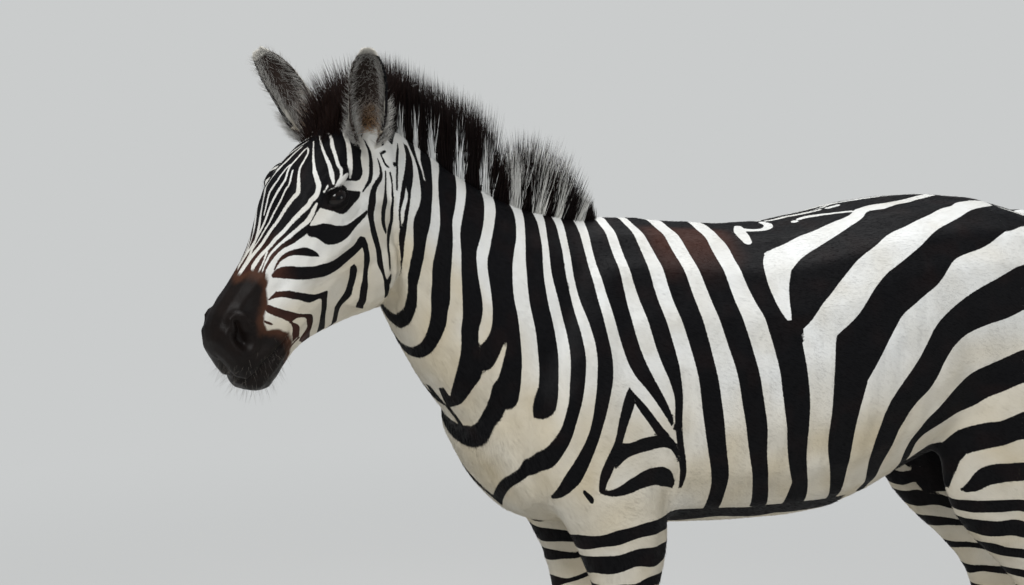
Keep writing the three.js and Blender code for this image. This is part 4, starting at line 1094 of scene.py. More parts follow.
def hair_tree(name, rings):
    """The node tree that plants tufts of the given number of rings."""
    if name in bpy.data.node_groups:
        return bpy.data.node_groups[name]
    tree = bpy.data.node_groups.new(name, "GeometryNodeTree")
    tree.is_modifier = True
    tree.interface.new_socket("Geometry", in_out="INPUT", socket_type="NodeSocketGeometry")
    for label, kind, value in HAIR_INPUTS:
        socket = tree.interface.new_socket(label, in_out="INPUT", socket_type=kind)
        if value is not None:
            socket.default_value = value
    tree.interface.new_socket("Geometry", in_out="OUTPUT", socket_type="NodeSocketGeometry")
    value = {socket.name: socket for socket in add(tree, "NodeGroupInput").outputs}
    for label in ("comb", "out", "root", "hair", "grow", "along"):
        kind = "FLOAT_VECTOR" if label in ("comb", "out", "root") else "FLOAT"
        value[label] = add(tree, "GeometryNodeInputNamedAttribute", {"Name": label}, data_type=kind)
    for salt, (label, low, high) in enumerate(HAIR_CHANCES):
        seed = add(tree, "ShaderNodeMath", {0: value["Seed"], 1: 11.0 + salt}, operation="ADD")
        drawn = add(tree, "FunctionNodeRandomValue", {2: low, 3: high, "Seed": seed}, data_type="FLOAT")
        value[label] = drawn.outputs[1]
    place = add(tree, "GeometryNodeInputPosition")
    value.update(zip(("flat", "side", "far"), add(tree, "ShaderNodeSeparateXYZ", {0: place}).outputs))
    for label, operation, *terms in HAIR_SUMS:
        inputs = {i: value[term] if isinstance(term, str) else term for i, term in enumerate(terms)}
        value[label] = add(tree, "ShaderNodeMath", inputs, operation=operation)

    # one tuft, one unit long along X
    cone = add(tree, "GeometryNodeMeshCone", {
        "Vertices": 3, "Side Segments": rings, "Radius Top": 0.0, "Radius Bottom": 1.0, "Depth": 1.0})
    shaped = add(tree, "ShaderNodeCombineXYZ", {0: value["far"], 1: value["width"], 2: value["height"]})
    marked = add(tree, "GeometryNodeStoreNamedAttribute", {
        "Geometry": cone, "Name": "along", "Value": value["far"]}, data_type="FLOAT", domain="POINT")
    tuft = add(tree, "GeometryNodeSetPosition", {"Geometry": marked, "Position": shaped})

    # its places on the bed, its directions and its size
    points = add(tree, "GeometryNodeDistributePointsOnFaces", {
        "Mesh": value["Geometry"], "Distance Min": value["Spacing"], "Density Max": value["Density"],
        "Density Factor": value["grow"], "Seed": value["Seed"]}, distribute_method="POISSON")
    rooted = add(tree, "GeometryNodeStoreNamedAttribute", {
        "Geometry": points, "Name": "root", "Value": place}, data_type="FLOAT_VECTOR", domain="POINT")
    inwards = add(tree, "ShaderNodeVectorMath", {0: value["out"], "Scale": value["below"]}, operation="SCALE")
    sunk = add(tree, "GeometryNodeSetPosition", {"Geometry": rooted, "Offset": inwards})
    facing = add(tree, "FunctionNodeAxesToRotation", {
        "Primary Axis": value["comb"], "Secondary Axis": value["out"]}, primary_axis="X", secondary_axis="Z")
    angles = add(tree, "ShaderNodeCombineXYZ", {1: value["pitch angle"], 2: value["yaw angle"]})
    swing = add(tree, "FunctionNodeEulerToRotation", {0: angles})
    turned = add(tree, "FunctionNodeRotateRotation", {0: facing, 1: swing}, rotation_space="LOCAL")
    size = add(tree, "ShaderNodeCombineXYZ", {0: value["length"], 1: value["breadth"], 2: value["length"]})
    planted = add(tree, "GeometryNodeInstanceOnPoints", {
        "Points": sunk, "Instance": tuft, "Rotation": turned, "Scale": size})
    real = add(tree, "GeometryNodeRealizeInstances", {"Geometry": planted})

    # neighbours lean the same way
    around = add(tree, "ShaderNodeVectorMath", {0: value["root"], "Scale": 60.0}, operation="SCALE")
    gust = add(tree, "ShaderNodeTexNoise", {"Vector": around, "Scale": 1.0, "Detail": 1.5}).outputs["Color"]
    centred = add(tree, "ShaderNodeVectorMath", {0: gust, 1: (0.5, 0.5, 0.5)}, operation="SUBTRACT")
    moved = add(tree, "ShaderNodeVectorMath", {0: centred, "Scale": value["pull"]}, operation="SCALE")
    swayed = add(tree, "GeometryNodeSetPosition", {"Geometry": real, "Offset": moved})
    dressed = add(tree, "GeometryNodeSetMaterial", {"Geometry": swayed, "Material": value["Finish"]})
    add(tree, "NodeGroupOutput", {"Geometry": dressed})
    return tree


def hide_map(p):
    """An unwrap of the skin's own shape: trunk and neck, head, ears and four legs side by side, 0 to 1 each way."""
    x, y, z = p.T
    u, v, _ = body_map(p)
    s, a, _ = head_map(p)
    hind, height, angle = legs_map(p)
    round_ear = np.degrees(np.arctan2(np.abs(y) - 90, x + 925))
    head = x < HEAD_EDGE
    out = np.zeros((len(p), 2))
    # for each part: its points, the share of its length, the share of the turn, and its patch of the unwrap
    for part, length, turn, left, wide, low, high in (
            (slice(None), (u + 900) / 1650, v, 0.01, 0.60, 0.02, 0.56),
            (head, (s + 60) / 460, a, 0.63, 0.35, 0.02, 0.44),
            (head & (z > EAR_FOOT), (z - EAR_START) / 180, round_ear, np.where(y < 0, 0.63, 0.82), 0.17, 0.48, 0.11),
            ((z < 700) & (np.abs(y) > LEG_SIDE), height / 700, angle, np.where(y < 0, 0.01, 0.51), 0.47,
             np.where(hind, 0.81, 0.61), 0.17)):
        out[part] = np.column_stack([left + length * wide, low + (turn + 180) / 360 * high])[part]
    return out


def plant(name, source, tree, material, values, tone, hug=0.0):
    """Grows one hair piece on the source mesh, and gives each tuft its colour values and its place in the unwrap.

    hug is the share of the hide's own direction in a tuft's shading, so flat hair is lit like the hide it lies on."""
    def grow(obj):
        modifier = obj.modifiers.new("hair", "NODES")
        modifier.node_group = tree
        sockets = {item.name: item.identifier for item in tree.interface.items_tree if item.in_out == "INPUT"}
        for label, value in {**values, "Finish": material}.items():
            modifier[sockets[label]] = value
    mesh = evaluated(source, grow)
    mesh.name = name
    if mesh.materials.find(material.name) < 0:
        mesh.materials.append(material)
    root = get_values(mesh, "root", 3)
    co, _ = mesh_arrays(mesh)
    along = get_values(mesh, "along")
    size = int(np.argmax(np.any(np.abs(root - root[0]) > 1e-9, axis=1))) or len(root)
    n = len(root) // size
    tip = co.reshape(n, size, 3)[np.arange(n), along.reshape(n, size).argmax(1)]
    base = root.reshape(n, size, 3)[:, 0]
    tone(mesh, base, tip, size)
    place = hide_map(unbend(base))
    place = (place - place.min(0)) / np.maximum(place.max(0) - place.min(0), 1e-6) * 0.98 + 0.01
    ring_step = np.linspace(0, 1, size)
    patch = np.column_stack([along - 0.5, np.tile(ring_step * 7 % 1 - 0.5, n)]) * 0.003
    uv = np.repeat(place, size, axis=0) + patch
    corners = np.zeros(len(mesh.loops), np.int32)
    mesh.loops.foreach_get("vertex_index", corners)
    layer = mesh.uv_layers.new(name="OFBake")
    layer.data.foreach_set("uv", uv[corners].astype(np.float32).ravel())
    mesh.shade_smooth()
    if hug:
        lit = vertex_normals(mesh) * (1 - hug) + get_values(mesh, "out", 3) * hug
        mesh.normals_split_custom_set_from_vertices(unit(lit).tolist())
    triangles = sum(len(f.vertices) - 2 for f in mesh.polygons)
    print(name, n, "tufts", triangles, "triangles")
    if triangles >= MOST_TRIANGLES:
        raise RuntimeError(f"{name} has {triangles} triangles")
    obj = in_scene(name, mesh)
    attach(obj, "root")
    return obj


def short_coat_tone(mesh, base, tip, size):
    """Colours each short tuft by the markings under it, read near its root and beyond its middle."""
    out = get_values(mesh, "out", 3)[::size]
    along = get_values(mesh, "along").reshape(-1, size)
    seen = bpy.data.meshes.new("seen")
    seen.vertices.add(len(base))
    marks = []
    for reach in (0.65, 0.15):
        spot = unbend(base + (tip - base) * reach)
        paint(seen, spot, turn_vectors(out, spot[:, 0], back=True))
        marks.append(get_values(seen, "mark"))
    for label in ("warmth", "brown", "muzzle", "bare"):
        set_values(mesh, label, np.repeat(get_values(seen, label), size))
    far, near = (m[:, None] for m in marks)
    set_values(mesh, "mark", (near + (far - near) * (along - 0.15) * 2).ravel())
    set_values(mesh, "shade", np.repeat(grain(base * 1000, 2.5, 51), size))
    bpy.data.meshes.remove(seen)


NOTCH, NOTCH_DEPTH, NOTCH_REACH = -572, 0.46, 23  # gap in the mane: station, share of the height, half width in mm


def long_hair_tone(kind):
    """Colours the locks of the mane, forelock, tail and ears, the lashes and the whiskers."""
    def tone(mesh, base, tip, size):
        p = unbend(base)
        along = get_values(mesh, "along").reshape(-1, size)
        lumps, single = grain(p, 7, 71), grain(base * 1000, 2.0, 73)
        warm, reddish = 0.12 + 0.12 * lumps, 0.45
        if kind == "mane":
            # white streaks rise from the white bands and narrow towards the black tips
            foot = p.copy()
            foot[:, 1] = np.where(p[:, 1] > 0, 15.0, -15.0)
            foot[:, 2] = p[:, 2] - 12
            behind = step(p[:, 0], NOTCH, NOTCH + 12)
            mark = markings(foot) * (1 + 0.8 * behind) + (1.6 * lumps + 1.2 * single) * (1 - 0.6 * behind)
            mark = mark[:, None] + (15.0 - 11.0 * behind)[:, None] * along ** 1.6
            uneven = 0.06 * single[:, None]
            mark = np.maximum(mark, 8 * step(along, 0.90 + uneven, 1.02 + uneven) - 3)
            warm = warm + 0.25 * behind
        elif kind == "tail":
            mark = np.where(p[:, 2] > 914 + 14 * lumps, -6.0, 8.0)[:, None] + 14 * step(along, 0.15, 0.45)
        elif kind == "ear":
            mark = np.full(along.shape, -8.0)
            _, up, _, away, _ = ear_map(p)
            warm = np.clip((1.1 - 2.2 * up + 0.45 * lumps) * step(-away, -27, -17), 0, 1)
        elif kind == "whisker":
            mark = np.full(along.shape, -8.0)
        else:
            mark, reddish = np.full(along.shape, 8.0), 0.85
        set_values(mesh, "mark", mark.ravel())
        set_values(mesh, "warmth", np.repeat(warm, size))
        brown = reddish * (0.6 + 0.4 * lumps[:, None]) * (0.4 + 0.6 * along)
        set_values(mesh, "brown", np.clip(brown, 0, 1).ravel())
        set_values(mesh, "shade", np.repeat(single, size))
    return tone


def hair_length(p):
    """Length of the short coat in metres at straight-neck points."""
    x, z = p[:, 0], p[:, 2]
    length = 0.0098 * np.ones(len(p))
    length = length - 0.0052 * step(-x, 845, 880)
    length = np.where(x < HEAD_EDGE, length - 0.0010 * step(head_map(p)[0], 200, 300), length)
    length = length - 0.0035 * step(-z, -620, -400)
    under = step(np.abs(body_map(p)[1]), 130, 165) * (x > HEAD_EDGE) * (z > 640)
    return length + 0.004 * under


# ---------------------------------------------------------------- materials

def srgb(text):
    """An sRGB hex colour as linear red, green, blue and alpha."""
    channels = [int(text[i:i + 2], 16) / 255 for i in (1, 3, 5)]
    return [c / 12.92 if c <= 0.04045 else ((c + 0.055) / 1.055) ** 2.4 for c in channels] + [1.0]


def add(tree, kind, inputs=None, **settings):
    """Adds a node with its settings; an input is a value, a socket that feeds it, or a node whose first output does."""
    node = tree.nodes.new(kind)
    for key, value in settings.items():
        setattr(node, key, value)
    for key, value in (inputs or {}).items():
        if isinstance(value, bpy.types.Node):
            value = value.outputs[0]
        if isinstance(value, bpy.types.NodeSocket):
            tree.links.new(value, node.inputs[key])
        else:
            node.inputs[key].default_value = value
    return node


# Sockets of a colour mix: the colours at factor 0 and 1, and the result.
MIX_LOW, MIX_HIGH, MIXED = 6, 7, 2


def finish_named(name):
    """A new material and its empty node tree."""
    material = bpy.data.materials.new(name)
    material.use_nodes = True
    tree = material.node_tree
    tree.nodes.clear()
    return material, tree


def stored_values(tree, *labels):
    """The mesh's stored values by their names."""
    return {label: add(tree, "ShaderNodeAttribute", attribute_name=label).outputs["Fac"] for label in labels}


def striped_hair(name, tufts):
    """Black or white hair by the marking distance, tan where it is soiled, brown to black on the muzzle.

    The hide has a fringed edge and a fine bump; tufts have one shade each."""
    colours = bpy.context.scene.zebra_colours
    material, tree = finish_named(name)
    values = stored_values(tree, "mark", "warmth", "brown", "muzzle", "bare", "shade")
    place = add(tree, "ShaderNodeTexCoord").outputs["Object"]
    mark = values["mark"]
    if not tufts:
        fringe = add(tree, "ShaderNodeTexNoise", {"Vector": place, "Scale": 330.0, "Detail": 2.0})
        wobble = add(tree, "ShaderNodeMath", {0: fringe, 1: 0.5}, operation="SUBTRACT")
        mark = add(tree, "ShaderNodeMath", {0: wobble, 1: 2.4, 2: mark}, operation="MULTIPLY_ADD")
    # where the hair is black, and where the muzzle's brown edge and its bare dark skin begin
    shares = []
    for value, low, high in ((mark, -0.6, 0.6), (values["muzzle"], -7.0, 1.0), (values["muzzle"], 0.0, 22.0)):
        shares.append(add(tree, "ShaderNodeMapRange", {
            "Value": value, "From Min": low, "From Max": high}, interpolation_type="SMOOTHSTEP"))
    black, edge, inside = shares
    patches = add(tree, "ShaderNodeTexNoise", {"Vector": place, "Scale": 14.0, "Detail": 3.0})
    worn = add(tree, "ShaderNodeTexNoise", {"Vector": place, "Scale": 30.0, "Detail": 2.0})
    mixed = {}
    for label, share, low, high, blend in (
            ("clean", values["warmth"], colours.white_hair, colours.soiled_hair, "MIX"),
            ("light", patches, "clean", srgb("#DAD5CB"), "MULTIPLY"),
            ("dark", values["brown"], colours.black_hair, colours.brown_hair, "MIX"),
            ("coat", black, "light", "dark", "MIX"),
            ("edged", edge, "coat", colours.muzzle_edge, "MIX"),
            ("nose", worn, colours.muzzle, srgb("#1B1411"), "MIX"),
            ("face", inside, "edged", "nose", "MIX"),
            ("final", values["bare"], "face", colours.ear_inside, "MIX")):
        low, high = (mixed[end] if isinstance(end, str) else end for end in (low, high))
        mixed[label] = add(tree, "ShaderNodeMix", {
            "Factor": share, MIX_LOW: low, MIX_HIGH: high}, data_type="RGBA", blend_type=blend).outputs[MIXED]
    final = mixed["final"]
    sleek = add(tree, "ShaderNodeMapRange", {
        "Value": values["muzzle"], "From Min": 10.0, "From Max": 45.0, "To Min": 0.55, "To Max": 0.42})
    settings = {"Roughness": sleek, "IOR": 1.45, "Specular IOR Level": 0.05 if tufts else 0.11}
    if tufts:
        level = add(tree, "ShaderNodeMapRange", {
            "Value": values["shade"], "From Min": -1.0, "From Max": 1.0, "To Min": 0.88, "To Max": 1.05})
        settings["Base Color"] = add(tree, "ShaderNodeVectorMath", {0: final, "Scale": level}, operation="SCALE")
    else:
        fur = add(tree, "ShaderNodeTexNoise", {"Vector": place, "Scale": 420.0, "Detail": 3.0})
        settings["Base Color"] = final
        settings["Normal"] = add(tree, "ShaderNodeBump", {"Strength": 0.6, "Distance": 0.0005, "Height": fur})
    add(tree, "ShaderNodeOutputMaterial", {"Surface": add(tree, "ShaderNodeBsdfPrincipled", settings)})
    return material


def loose_hair(name, white, soiled, black, brown, roughness):
    """Separate hairs in locks, each lock one shade."""
    material, tree = finish_named(name)
    values = stored_values(tree, "mark", "warmth", "brown", "shade")
    dyed = add(tree, "ShaderNodeMapRange", {
        "Value": values["mark"], "From Min": -1.0, "From Max": 1.0}, interpolation_type="SMOOTHSTEP")
    ends = []
    for share, low, high in ((values["warmth"], white, soiled), (values["brown"], black, brown)):
        ends.append(add(tree, "ShaderNodeMix", {
            "Factor": share, MIX_LOW: low, MIX_HIGH: high}, data_type="RGBA").outputs[MIXED])
    light, dark = ends
    colour = add(tree, "ShaderNodeMix", {
        "Factor": dyed, MIX_LOW: light, MIX_HIGH: dark}, data_type="RGBA").outputs[MIXED]
    level = add(tree, "ShaderNodeMapRange", {
        "Value": values["shade"], "From Min": -1.0, "From Max": 1.0, "To Min": 0.74, "To Max": 1.12})
    final = add(tree, "ShaderNodeVectorMath", {0: colour, "Scale": level}, operation="SCALE")
    shader = add(tree, "ShaderNodeBsdfPrincipled", {
        "Base Color": final, "Roughness": roughness, "IOR": 1.45, "Specular IOR Level": 0.09})
    add(tree, "ShaderNodeOutputMaterial", {"Surface": shader})
    return material


def eye_gloss():
    """Wet eyeball: near-black brown iris with a level pupil, under one clear coat."""
    material, tree = finish_named("eye_wet_brown")
    values = stored_values(tree, "pupil", "iris")
    place = add(tree, "ShaderNodeTexCoord").outputs["Object"]
    rays = add(tree, "ShaderNodeTexNoise", {"Vector": place, "Scale": 900.0, "Detail": 2.0})
    brown = add(tree, "ShaderNodeMix", {
        "Factor": rays, MIX_LOW: srgb("#0B0705"), MIX_HIGH: bpy.context.scene.zebra_colours.iris}, data_type="RGBA")
    rim = add(tree, "ShaderNodeMix", {
        "Factor": values["iris"], MIX_LOW: srgb("#070505"), MIX_HIGH: brown.outputs[MIXED]}, data_type="RGBA")
    final = add(tree, "ShaderNodeMix", {
        "Factor": values["pupil"], MIX_LOW: rim.outputs[MIXED], MIX_HIGH: srgb("#030304")}, data_type="RGBA")
    shader = add(tree, "ShaderNodeBsdfPrincipled", {
        "Base Color": final.outputs[MIXED], "Roughness": 0.15, "IOR": 1.38, "Specular IOR Level": 0.1,
        "Coat Weight": 0.4, "Coat Roughness": 0.02})
    add(tree, "ShaderNodeOutputMaterial", {"Surface": shader})
    return material


def bare_lid():
    """Bare black eyelid skin, finely creased."""
    material, tree = finish_named("eyelid_skin_black")
    place = add(tree, "ShaderNodeTexCoord").outputs["Object"]
    creases = add(tree, "ShaderNodeTexNoise", {"Vector": place, "Scale": 700.0, "Detail": 3.0})
    # The colour follows the creases' noise, so the creases' hollows are painted darker, as shade.
    colour = add(tree, "ShaderNodeMix", {
        "Factor": creases, MIX_LOW: srgb("#060505"), MIX_HIGH: srgb("#0E0C0C")}, data_type="RGBA").outputs[MIXED]
    bump = add(tree, "ShaderNodeBump", {"Strength": 0.7, "Distance": 0.0004, "Height": creases})
    shader = add(tree, "ShaderNodeBsdfPrincipled", {
        "Base Color": colour, "Roughness": 0.6, "IOR": 1.45, "Specular IOR Level": 0.08, "Normal": bump})
    add(tree, "ShaderNodeOutputMaterial", {"Surface": shader})
    return material


def hoof_horn():
    """Grey-brown keratin, grown downwards in fine rings."""
    material, tree = finish_named("hoof_horn_ringed")
    place = add(tree, "ShaderNodeTexCoord").outputs["Object"]
    rings = add(tree, "ShaderNodeTexWave", {
        "Vector": place, "Scale": 55.0, "Distortion": 2.5, "Detail": 2.0, "Detail Scale": 1.5},
        bands_direction="Z").outputs["Fac"]
    colour = add(tree, "ShaderNodeMix", {
        "Factor": rings, MIX_LOW: srgb("#26211E"), MIX_HIGH: bpy.context.scene.zebra_colours.hoof}, data_type="RGBA")
    bump = add(tree, "ShaderNodeBump", {"Strength": 0.5, "Distance": 0.0008, "Height": rings})
    shader = add(tree, "ShaderNodeBsdfPrincipled", {
        "Base Color": colour.outputs[MIXED], "Roughness": 0.42, "IOR": 1.54, "Normal": bump})
    add(tree, "ShaderNodeOutputMaterial", {"Surface": shader})
    return material


def pale_floor():
    """Matt pale studio paper, which further off shows the camera the plain backdrop colour."""
    colours = bpy.context.scene.zebra_colours
    material, tree = finish_named("studio_floor_matt")
    place = add(tree, "ShaderNodeTexCoord").outputs["Object"]
    mottling = add(tree, "ShaderNodeTexNoise", {"Vector": place, "Scale": 0.6, "Detail": 2.0})
    colour = add(tree, "ShaderNodeMix", {
        "Factor": mottling, MIX_LOW: colours.floor, MIX_HIGH: srgb("#CECDCA")}, data_type="RGBA").outputs[MIXED]
    paper = add(tree, "ShaderNodeBsdfPrincipled", {"Base Color": colour, "Roughness": 0.9})
    away = add(tree, "ShaderNodeVectorMath", {0: place}, operation="LENGTH").outputs["Value"]
    far = add(tree, "ShaderNodeMapRange", {
        "Value": away, "From Min": 0.9, "From Max": 4.2}, interpolation_type="SMOOTHSTEP")
    seen = add(tree, "ShaderNodeLightPath").outputs["Is Camera Ray"]
    shown = add(tree, "ShaderNodeMath", {0: far, 1: seen}, operation="MULTIPLY")
    glow = add(tree, "ShaderNodeEmission", {"Color": colours.backdrop})
    add(tree, "ShaderNodeOutputMaterial", {"Surface": add(tree, "ShaderNodeMixShader", {0: shown, 1: paper, 2: glow})})
    return material


# ---------------------------------------------------------------- settings and operators

def length_setting(name, description, default, **limits):
    """A length in metres."""
    return FloatProperty(name=name, description=description, default=default, unit="LENGTH", **limits)


def share_setting(name, description, default, low, high=1.0):
    """A share between low and high."""
    return FloatProperty(name=name, description=description, default=default, min=low, max=high, subtype="FACTOR")


def colour_setting(name, description, text):
    """A colour given as sRGB hex."""
    return FloatVectorProperty(
        name=name, description=description, default=srgb(text), size=4, min=0, max=1, subtype="COLOR")


class ZebraSkinSettings(bpy.types.PropertyGroup):
    head_voxel: length_setting("Head mesh size", "Spacing of the skin's mesh on the head", 0.0035, min=0.002)
    body_voxel: length_setting("Body mesh size", "Spacing of the skin's mesh on neck and barrel", 0.0108, min=0.004)
    leg_voxel: length_setting("Leg mesh size", "Spacing of the skin's mesh on the legs", 0.0078, min=0.003)


class ZebraColourSettings(bpy.types.PropertyGroup):
    white_hair: colour_setting("White hair", "Clean white hair", "#DFE1E1")
    soiled_hair: colour_setting("Soiled hair", "White hair stained by dust and grease", "#C6B795")
    black_hair: colour_setting("Black hair", "Dark stripes", "#08080A")
    # Brown hair is also a painted highlight: the dark stripes are painted browner beside the spine, where light falls
    # on the top of the back.
    brown_hair: colour_setting("Brown hair", "Dark stripes where they are bleached", "#38211A")
    muzzle: colour_setting("Muzzle", "Velvet of the muzzle", "#0B0A0A")
    muzzle_edge: colour_setting("Muzzle edge", "Brown hair where the muzzle starts", "#40281C")
    ear_inside: colour_setting("Inside of the ear", "Skin deep in the ear", "#2A221E")
    iris: colour_setting("Iris", "Lighter parts of the iris", "#140B07")
    hoof: colour_setting("Hoof", "Worn horn", "#57493E")
    floor: colour_setting("Floor", "Studio floor", "#C9C9C7")
    backdrop: colour_setting("Backdrop", "Studio backdrop", "#CACCCC")


class ZebraCoatSettings(bpy.types.PropertyGroup):
    density: share_setting("Density", "Share of the full number of tufts", 1.0, 0.1)
    rise: share_setting("Rise", "How far a tuft's tip stands off the hide, as a share of its length", 0.08, 0.0, 0.5)
    seed: IntProperty(name="Seed", description="Changes where the tufts stand", default=7, min=0)


class ZebraHairSettings(bpy.types.PropertyGroup):
    mane_length: share_setting("Mane length", "Share of the mane's full height", 0.96, 0.2)
    seed: IntProperty(name="Seed", description="Changes the locks of mane and tail", default=3, min=0)


class ZebraStageSettings(bpy.types.PropertyGroup):
    azimuth: FloatProperty(
        name="Azimuth", description="Camera's direction round the animal, from its left side",
        default=math.radians(-20), subtype="ANGLE")
    elevation: FloatProperty(
        name="Elevation", description="Camera's height angle", default=math.radians(9), subtype="ANGLE")
    distance: length_setting("Distance", "Camera to target", 5.187)
    lens: FloatProperty(name="Lens", description="Focal length in mm on a 36 mm wide sensor", default=102.0)
    target: FloatVectorProperty(
        name="Target", description="Point in the middle of the view", default=(-0.3266, 0.0201, 1.160), subtype="XYZ")


class ZEBRA_OT_skin(bpy.types.Operator):
    """Make the hide from the flesh nodes and paint its markings"""
    bl_idname = "zebra.skin"
    bl_label = "Skin"

    def execute(self, context):
        mesh = build_skin(context.scene.zebra_skin)
        co, _ = mesh_arrays(mesh)
        p = unbend(co)
        normal = vertex_normals(mesh)
        paint(mesh, p, turn_vectors(normal, p[:, 0], back=True))
        dress(mesh, comb_directions(p, normal), normal, hair_length(p))
        mesh.shade_smooth()
        skin = in_scene("skin", mesh)
        set_values(mesh, "shade", np.zeros(len(p)))
        mesh.materials.append(striped_hair("zebra_hide_striped", False))
        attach(skin, "root")
        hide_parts(*FLESH)
        return {"FINISHED"}


def grid_mesh(name, points, rows, columns, closed=False):
    """A mesh of quads through rows of points, each row closed into a ring when asked."""
    faces = []
    for i in range(rows - 1):
        for j in range(columns if closed else columns - 1):
            k = (j + 1) % columns
            faces.append((i * columns + j, i * columns + k, (i + 1) * columns + k, (i + 1) * columns + j))
    mesh = bpy.data.meshes.new(name)
    mesh.from_pydata([tuple(p) for p in points], [], faces)
    mesh.update()
    return mesh


def outwards(mesh):
    """Joins doubled vertices, turns the faces outwards and smooths their shading."""
    bm = bmesh.new()
    bm.from_mesh(mesh)
    bmesh.ops.remove_doubles(bm, verts=bm.verts, dist=1e-6)
    bmesh.ops.recalc_face_normals(bm, faces=bm.faces)
    bm.to_mesh(mesh)
    bm.free()
    mesh.shade_smooth()


def in_scene(name, mesh):
    """A new object that shows the mesh."""
    obj = bpy.data.objects.new(name, mesh)
    bpy.context.scene.collection.objects.link(obj)
    return obj


def made_skin():
    """The hide, which most hair grows on."""
    skin = bpy.data.objects.get("skin")
    if skin is None:
        raise RuntimeError("make the skin first")
    return skin


def dress(mesh, comb, out, hair, grow=None):
    """Stores on a mesh the directions and lengths of the hair it carries, and where it grows."""
    set_values(mesh, "comb", comb, "FLOAT_VECTOR")
    set_values(mesh, "out", out, "FLOAT_VECTOR")
    set_values(mesh, "hair", hair)
    set_values(mesh, "grow", np.ones(len(mesh.vertices)) if grow is None else grow)


# Section of the lid edge from the eyeball outwards: (spread over the hide, height over the eyeball), in mm.
LID_PROFILE = ((-1.6, -0.6), (-0.9, 0.35), (0.2, 1.35), (1.8, 2.1), (3.8, 2.9), (6.6, 3.3),
               (9.6, 3.0), (13.0, 2.2), (16.0, 0.4), (15.0, -1.5), (6.0, 0.6), (0.0, -0.9))
DEGREES_PER_MM = 2.3  # on the eyeball
PUPIL_WIDE, PUPIL_HIGH = 0.34, 0.19  # half sizes as shares of the eye's radius


def ray(side, across, height):
    """The direction out of an eye at angles in radians across and up from its gaze."""
    _, gaze, front, up = EYE_FRAMES[side]
    return (gaze * math.cos(across) * math.cos(height) + front * math.sin(across) * math.cos(height)
            + up * math.sin(height))


def eyeball(side):
    """The eyeball's mesh, bulging a little in front, with the shares of pupil and iris stored on it."""
    centre, gaze, front, up = EYE_FRAMES[side]
    rings, spokes = 44, 64
    points, pupil, iris = [], [], []
    for i in range(rings):
        polar = math.pi * i / (rings - 1)
        radius = EYE_RADIUS + 0.0011 * math.exp(-(polar / 0.55) ** 2) - 0.0003
        for j in range(spokes):
            turn = 2 * math.pi * j / spokes
            across, height = math.sin(polar) * math.cos(turn), math.sin(polar) * math.sin(turn)
            points.append(centre + radius * (gaze * math.cos(polar) + front * across + up * height))
            ahead = math.cos(polar) > 0
            slot = (across / PUPIL_WIDE) ** 4 + (height / PUPIL_HIGH) ** 4
            pupil.append(float(ahead) * (1 - min(max((slot - 0.8) / 0.5, 0), 1)))
            iris.append(float(ahead) * (1 - min(max((math.sin(polar) - 0.66) / 0.08, 0), 1)))
    mesh = grid_mesh("eyeball_" + side, points, rings, spokes, closed=True)
    set_values(mesh, "pupil", pupil)
    set_values(mesh, "iris", iris)
    outwards(mesh)
    return mesh


def eyelids(side):
    """The mesh of the lid edge: a rounded strip that follows the opening and sinks under the hide."""
    centre = EYE_FRAMES[side][0]
    around, points = 96, []
    for i in range(around):
        turn = 2 * math.pi * i / around
        across = (LID_REACH - 1) * math.cos(turn)
        upper, lower = lid_edges(np.array([across * 0.999]))
        height = float(upper[0]) if math.sin(turn) >= 0 else float(lower[0])
        away = np.array((math.cos(turn) * 0.8, math.sin(turn) + 0.02))
        away /= np.linalg.norm(away)
        heavy = 1.35 if math.sin(turn) > 0.1 else 0.9
        for spread, lift in LID_PROFILE:
            a = math.radians(across + away[0] * spread * DEGREES_PER_MM)
            b = math.radians(height + away[1] * spread * DEGREES_PER_MM)
            fold = 0.55 * math.sin(spread * 1.35) * (spread > 2.5) * (math.sin(turn) > 0)
            points.append(centre + (EYE_RADIUS + (lift * heavy + fold) / 1000) * ray(side, a, b))
    n = len(LID_PROFILE)
    strips = [(i * n, (i + 1) % around * n) for i in range(around)]
    faces = [(here + j, here + (j + 1) % n, there + (j + 1) % n, there + j) for here, there in strips for j in range(n)]
    mesh = bpy.data.meshes.new("eyelids_" + side)
    mesh.from_pydata([tuple(p) for p in points], [], faces)
    outwards(mesh)
    return mesh


class ZEBRA_OT_eyes(bpy.types.Operator):
    """Make the eyeballs and the lids round them"""
    bl_idname = "zebra.eyes"
    bl_label = "Eyes"

    def execute(self, context):
        wet, lid_skin = eye_gloss(), bare_lid()
        for side in SIDES:
            ball = in_scene("eyeball_" + side, eyeball(side))
            ball.data.materials.append(wet)
            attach(ball, "root")
            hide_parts("eye_" + side)
            lids = in_scene("eyelids_" + side, eyelids(side))
            lids.data.materials.append(lid_skin)
            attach(lids, "root")
        return {"FINISHED"}


def hair_bed(points, combs, outs, lengths, rows, columns, closed=False):
    """A hidden bed that carries hair."""
    mesh = grid_mesh("bed", points, rows, columns, closed)
    dress(mesh, combs, outs, lengths)
    return mesh


# Pieces of the short coat: (name, from station, to station, side (-1 left, 1 right, 0 both), tuft spacing,
# tufts to a square metre, tuft width). The coat of the legs covers them up to LEG_COAT_TOP.
LEG_COAT_TOP, HOOF_LINE = 636, 62
COAT_PARTS = (
    ("coat_head_left", -1400, -852, -1, 0.00132, 380000, 0.0010),
    ("coat_head_right", -1400, -852, 1, 0.00132, 380000, 0.0010),
    ("coat_neck", -852, -480, 0, 0.0020, 185000, 0.0015),
    ("coat_shoulders", -480, -130, 0, 0.0024, 128000, 0.0019),
    ("coat_barrel", -130, 240, 0, 0.0026, 110000, 0.0021),
    ("coat_rump", 240, 900, 0, 0.0031, 82000, 0.0023),
    ("coat_legs", -1400, 900, 0, 0.0025, 120000, 0.0015),
)


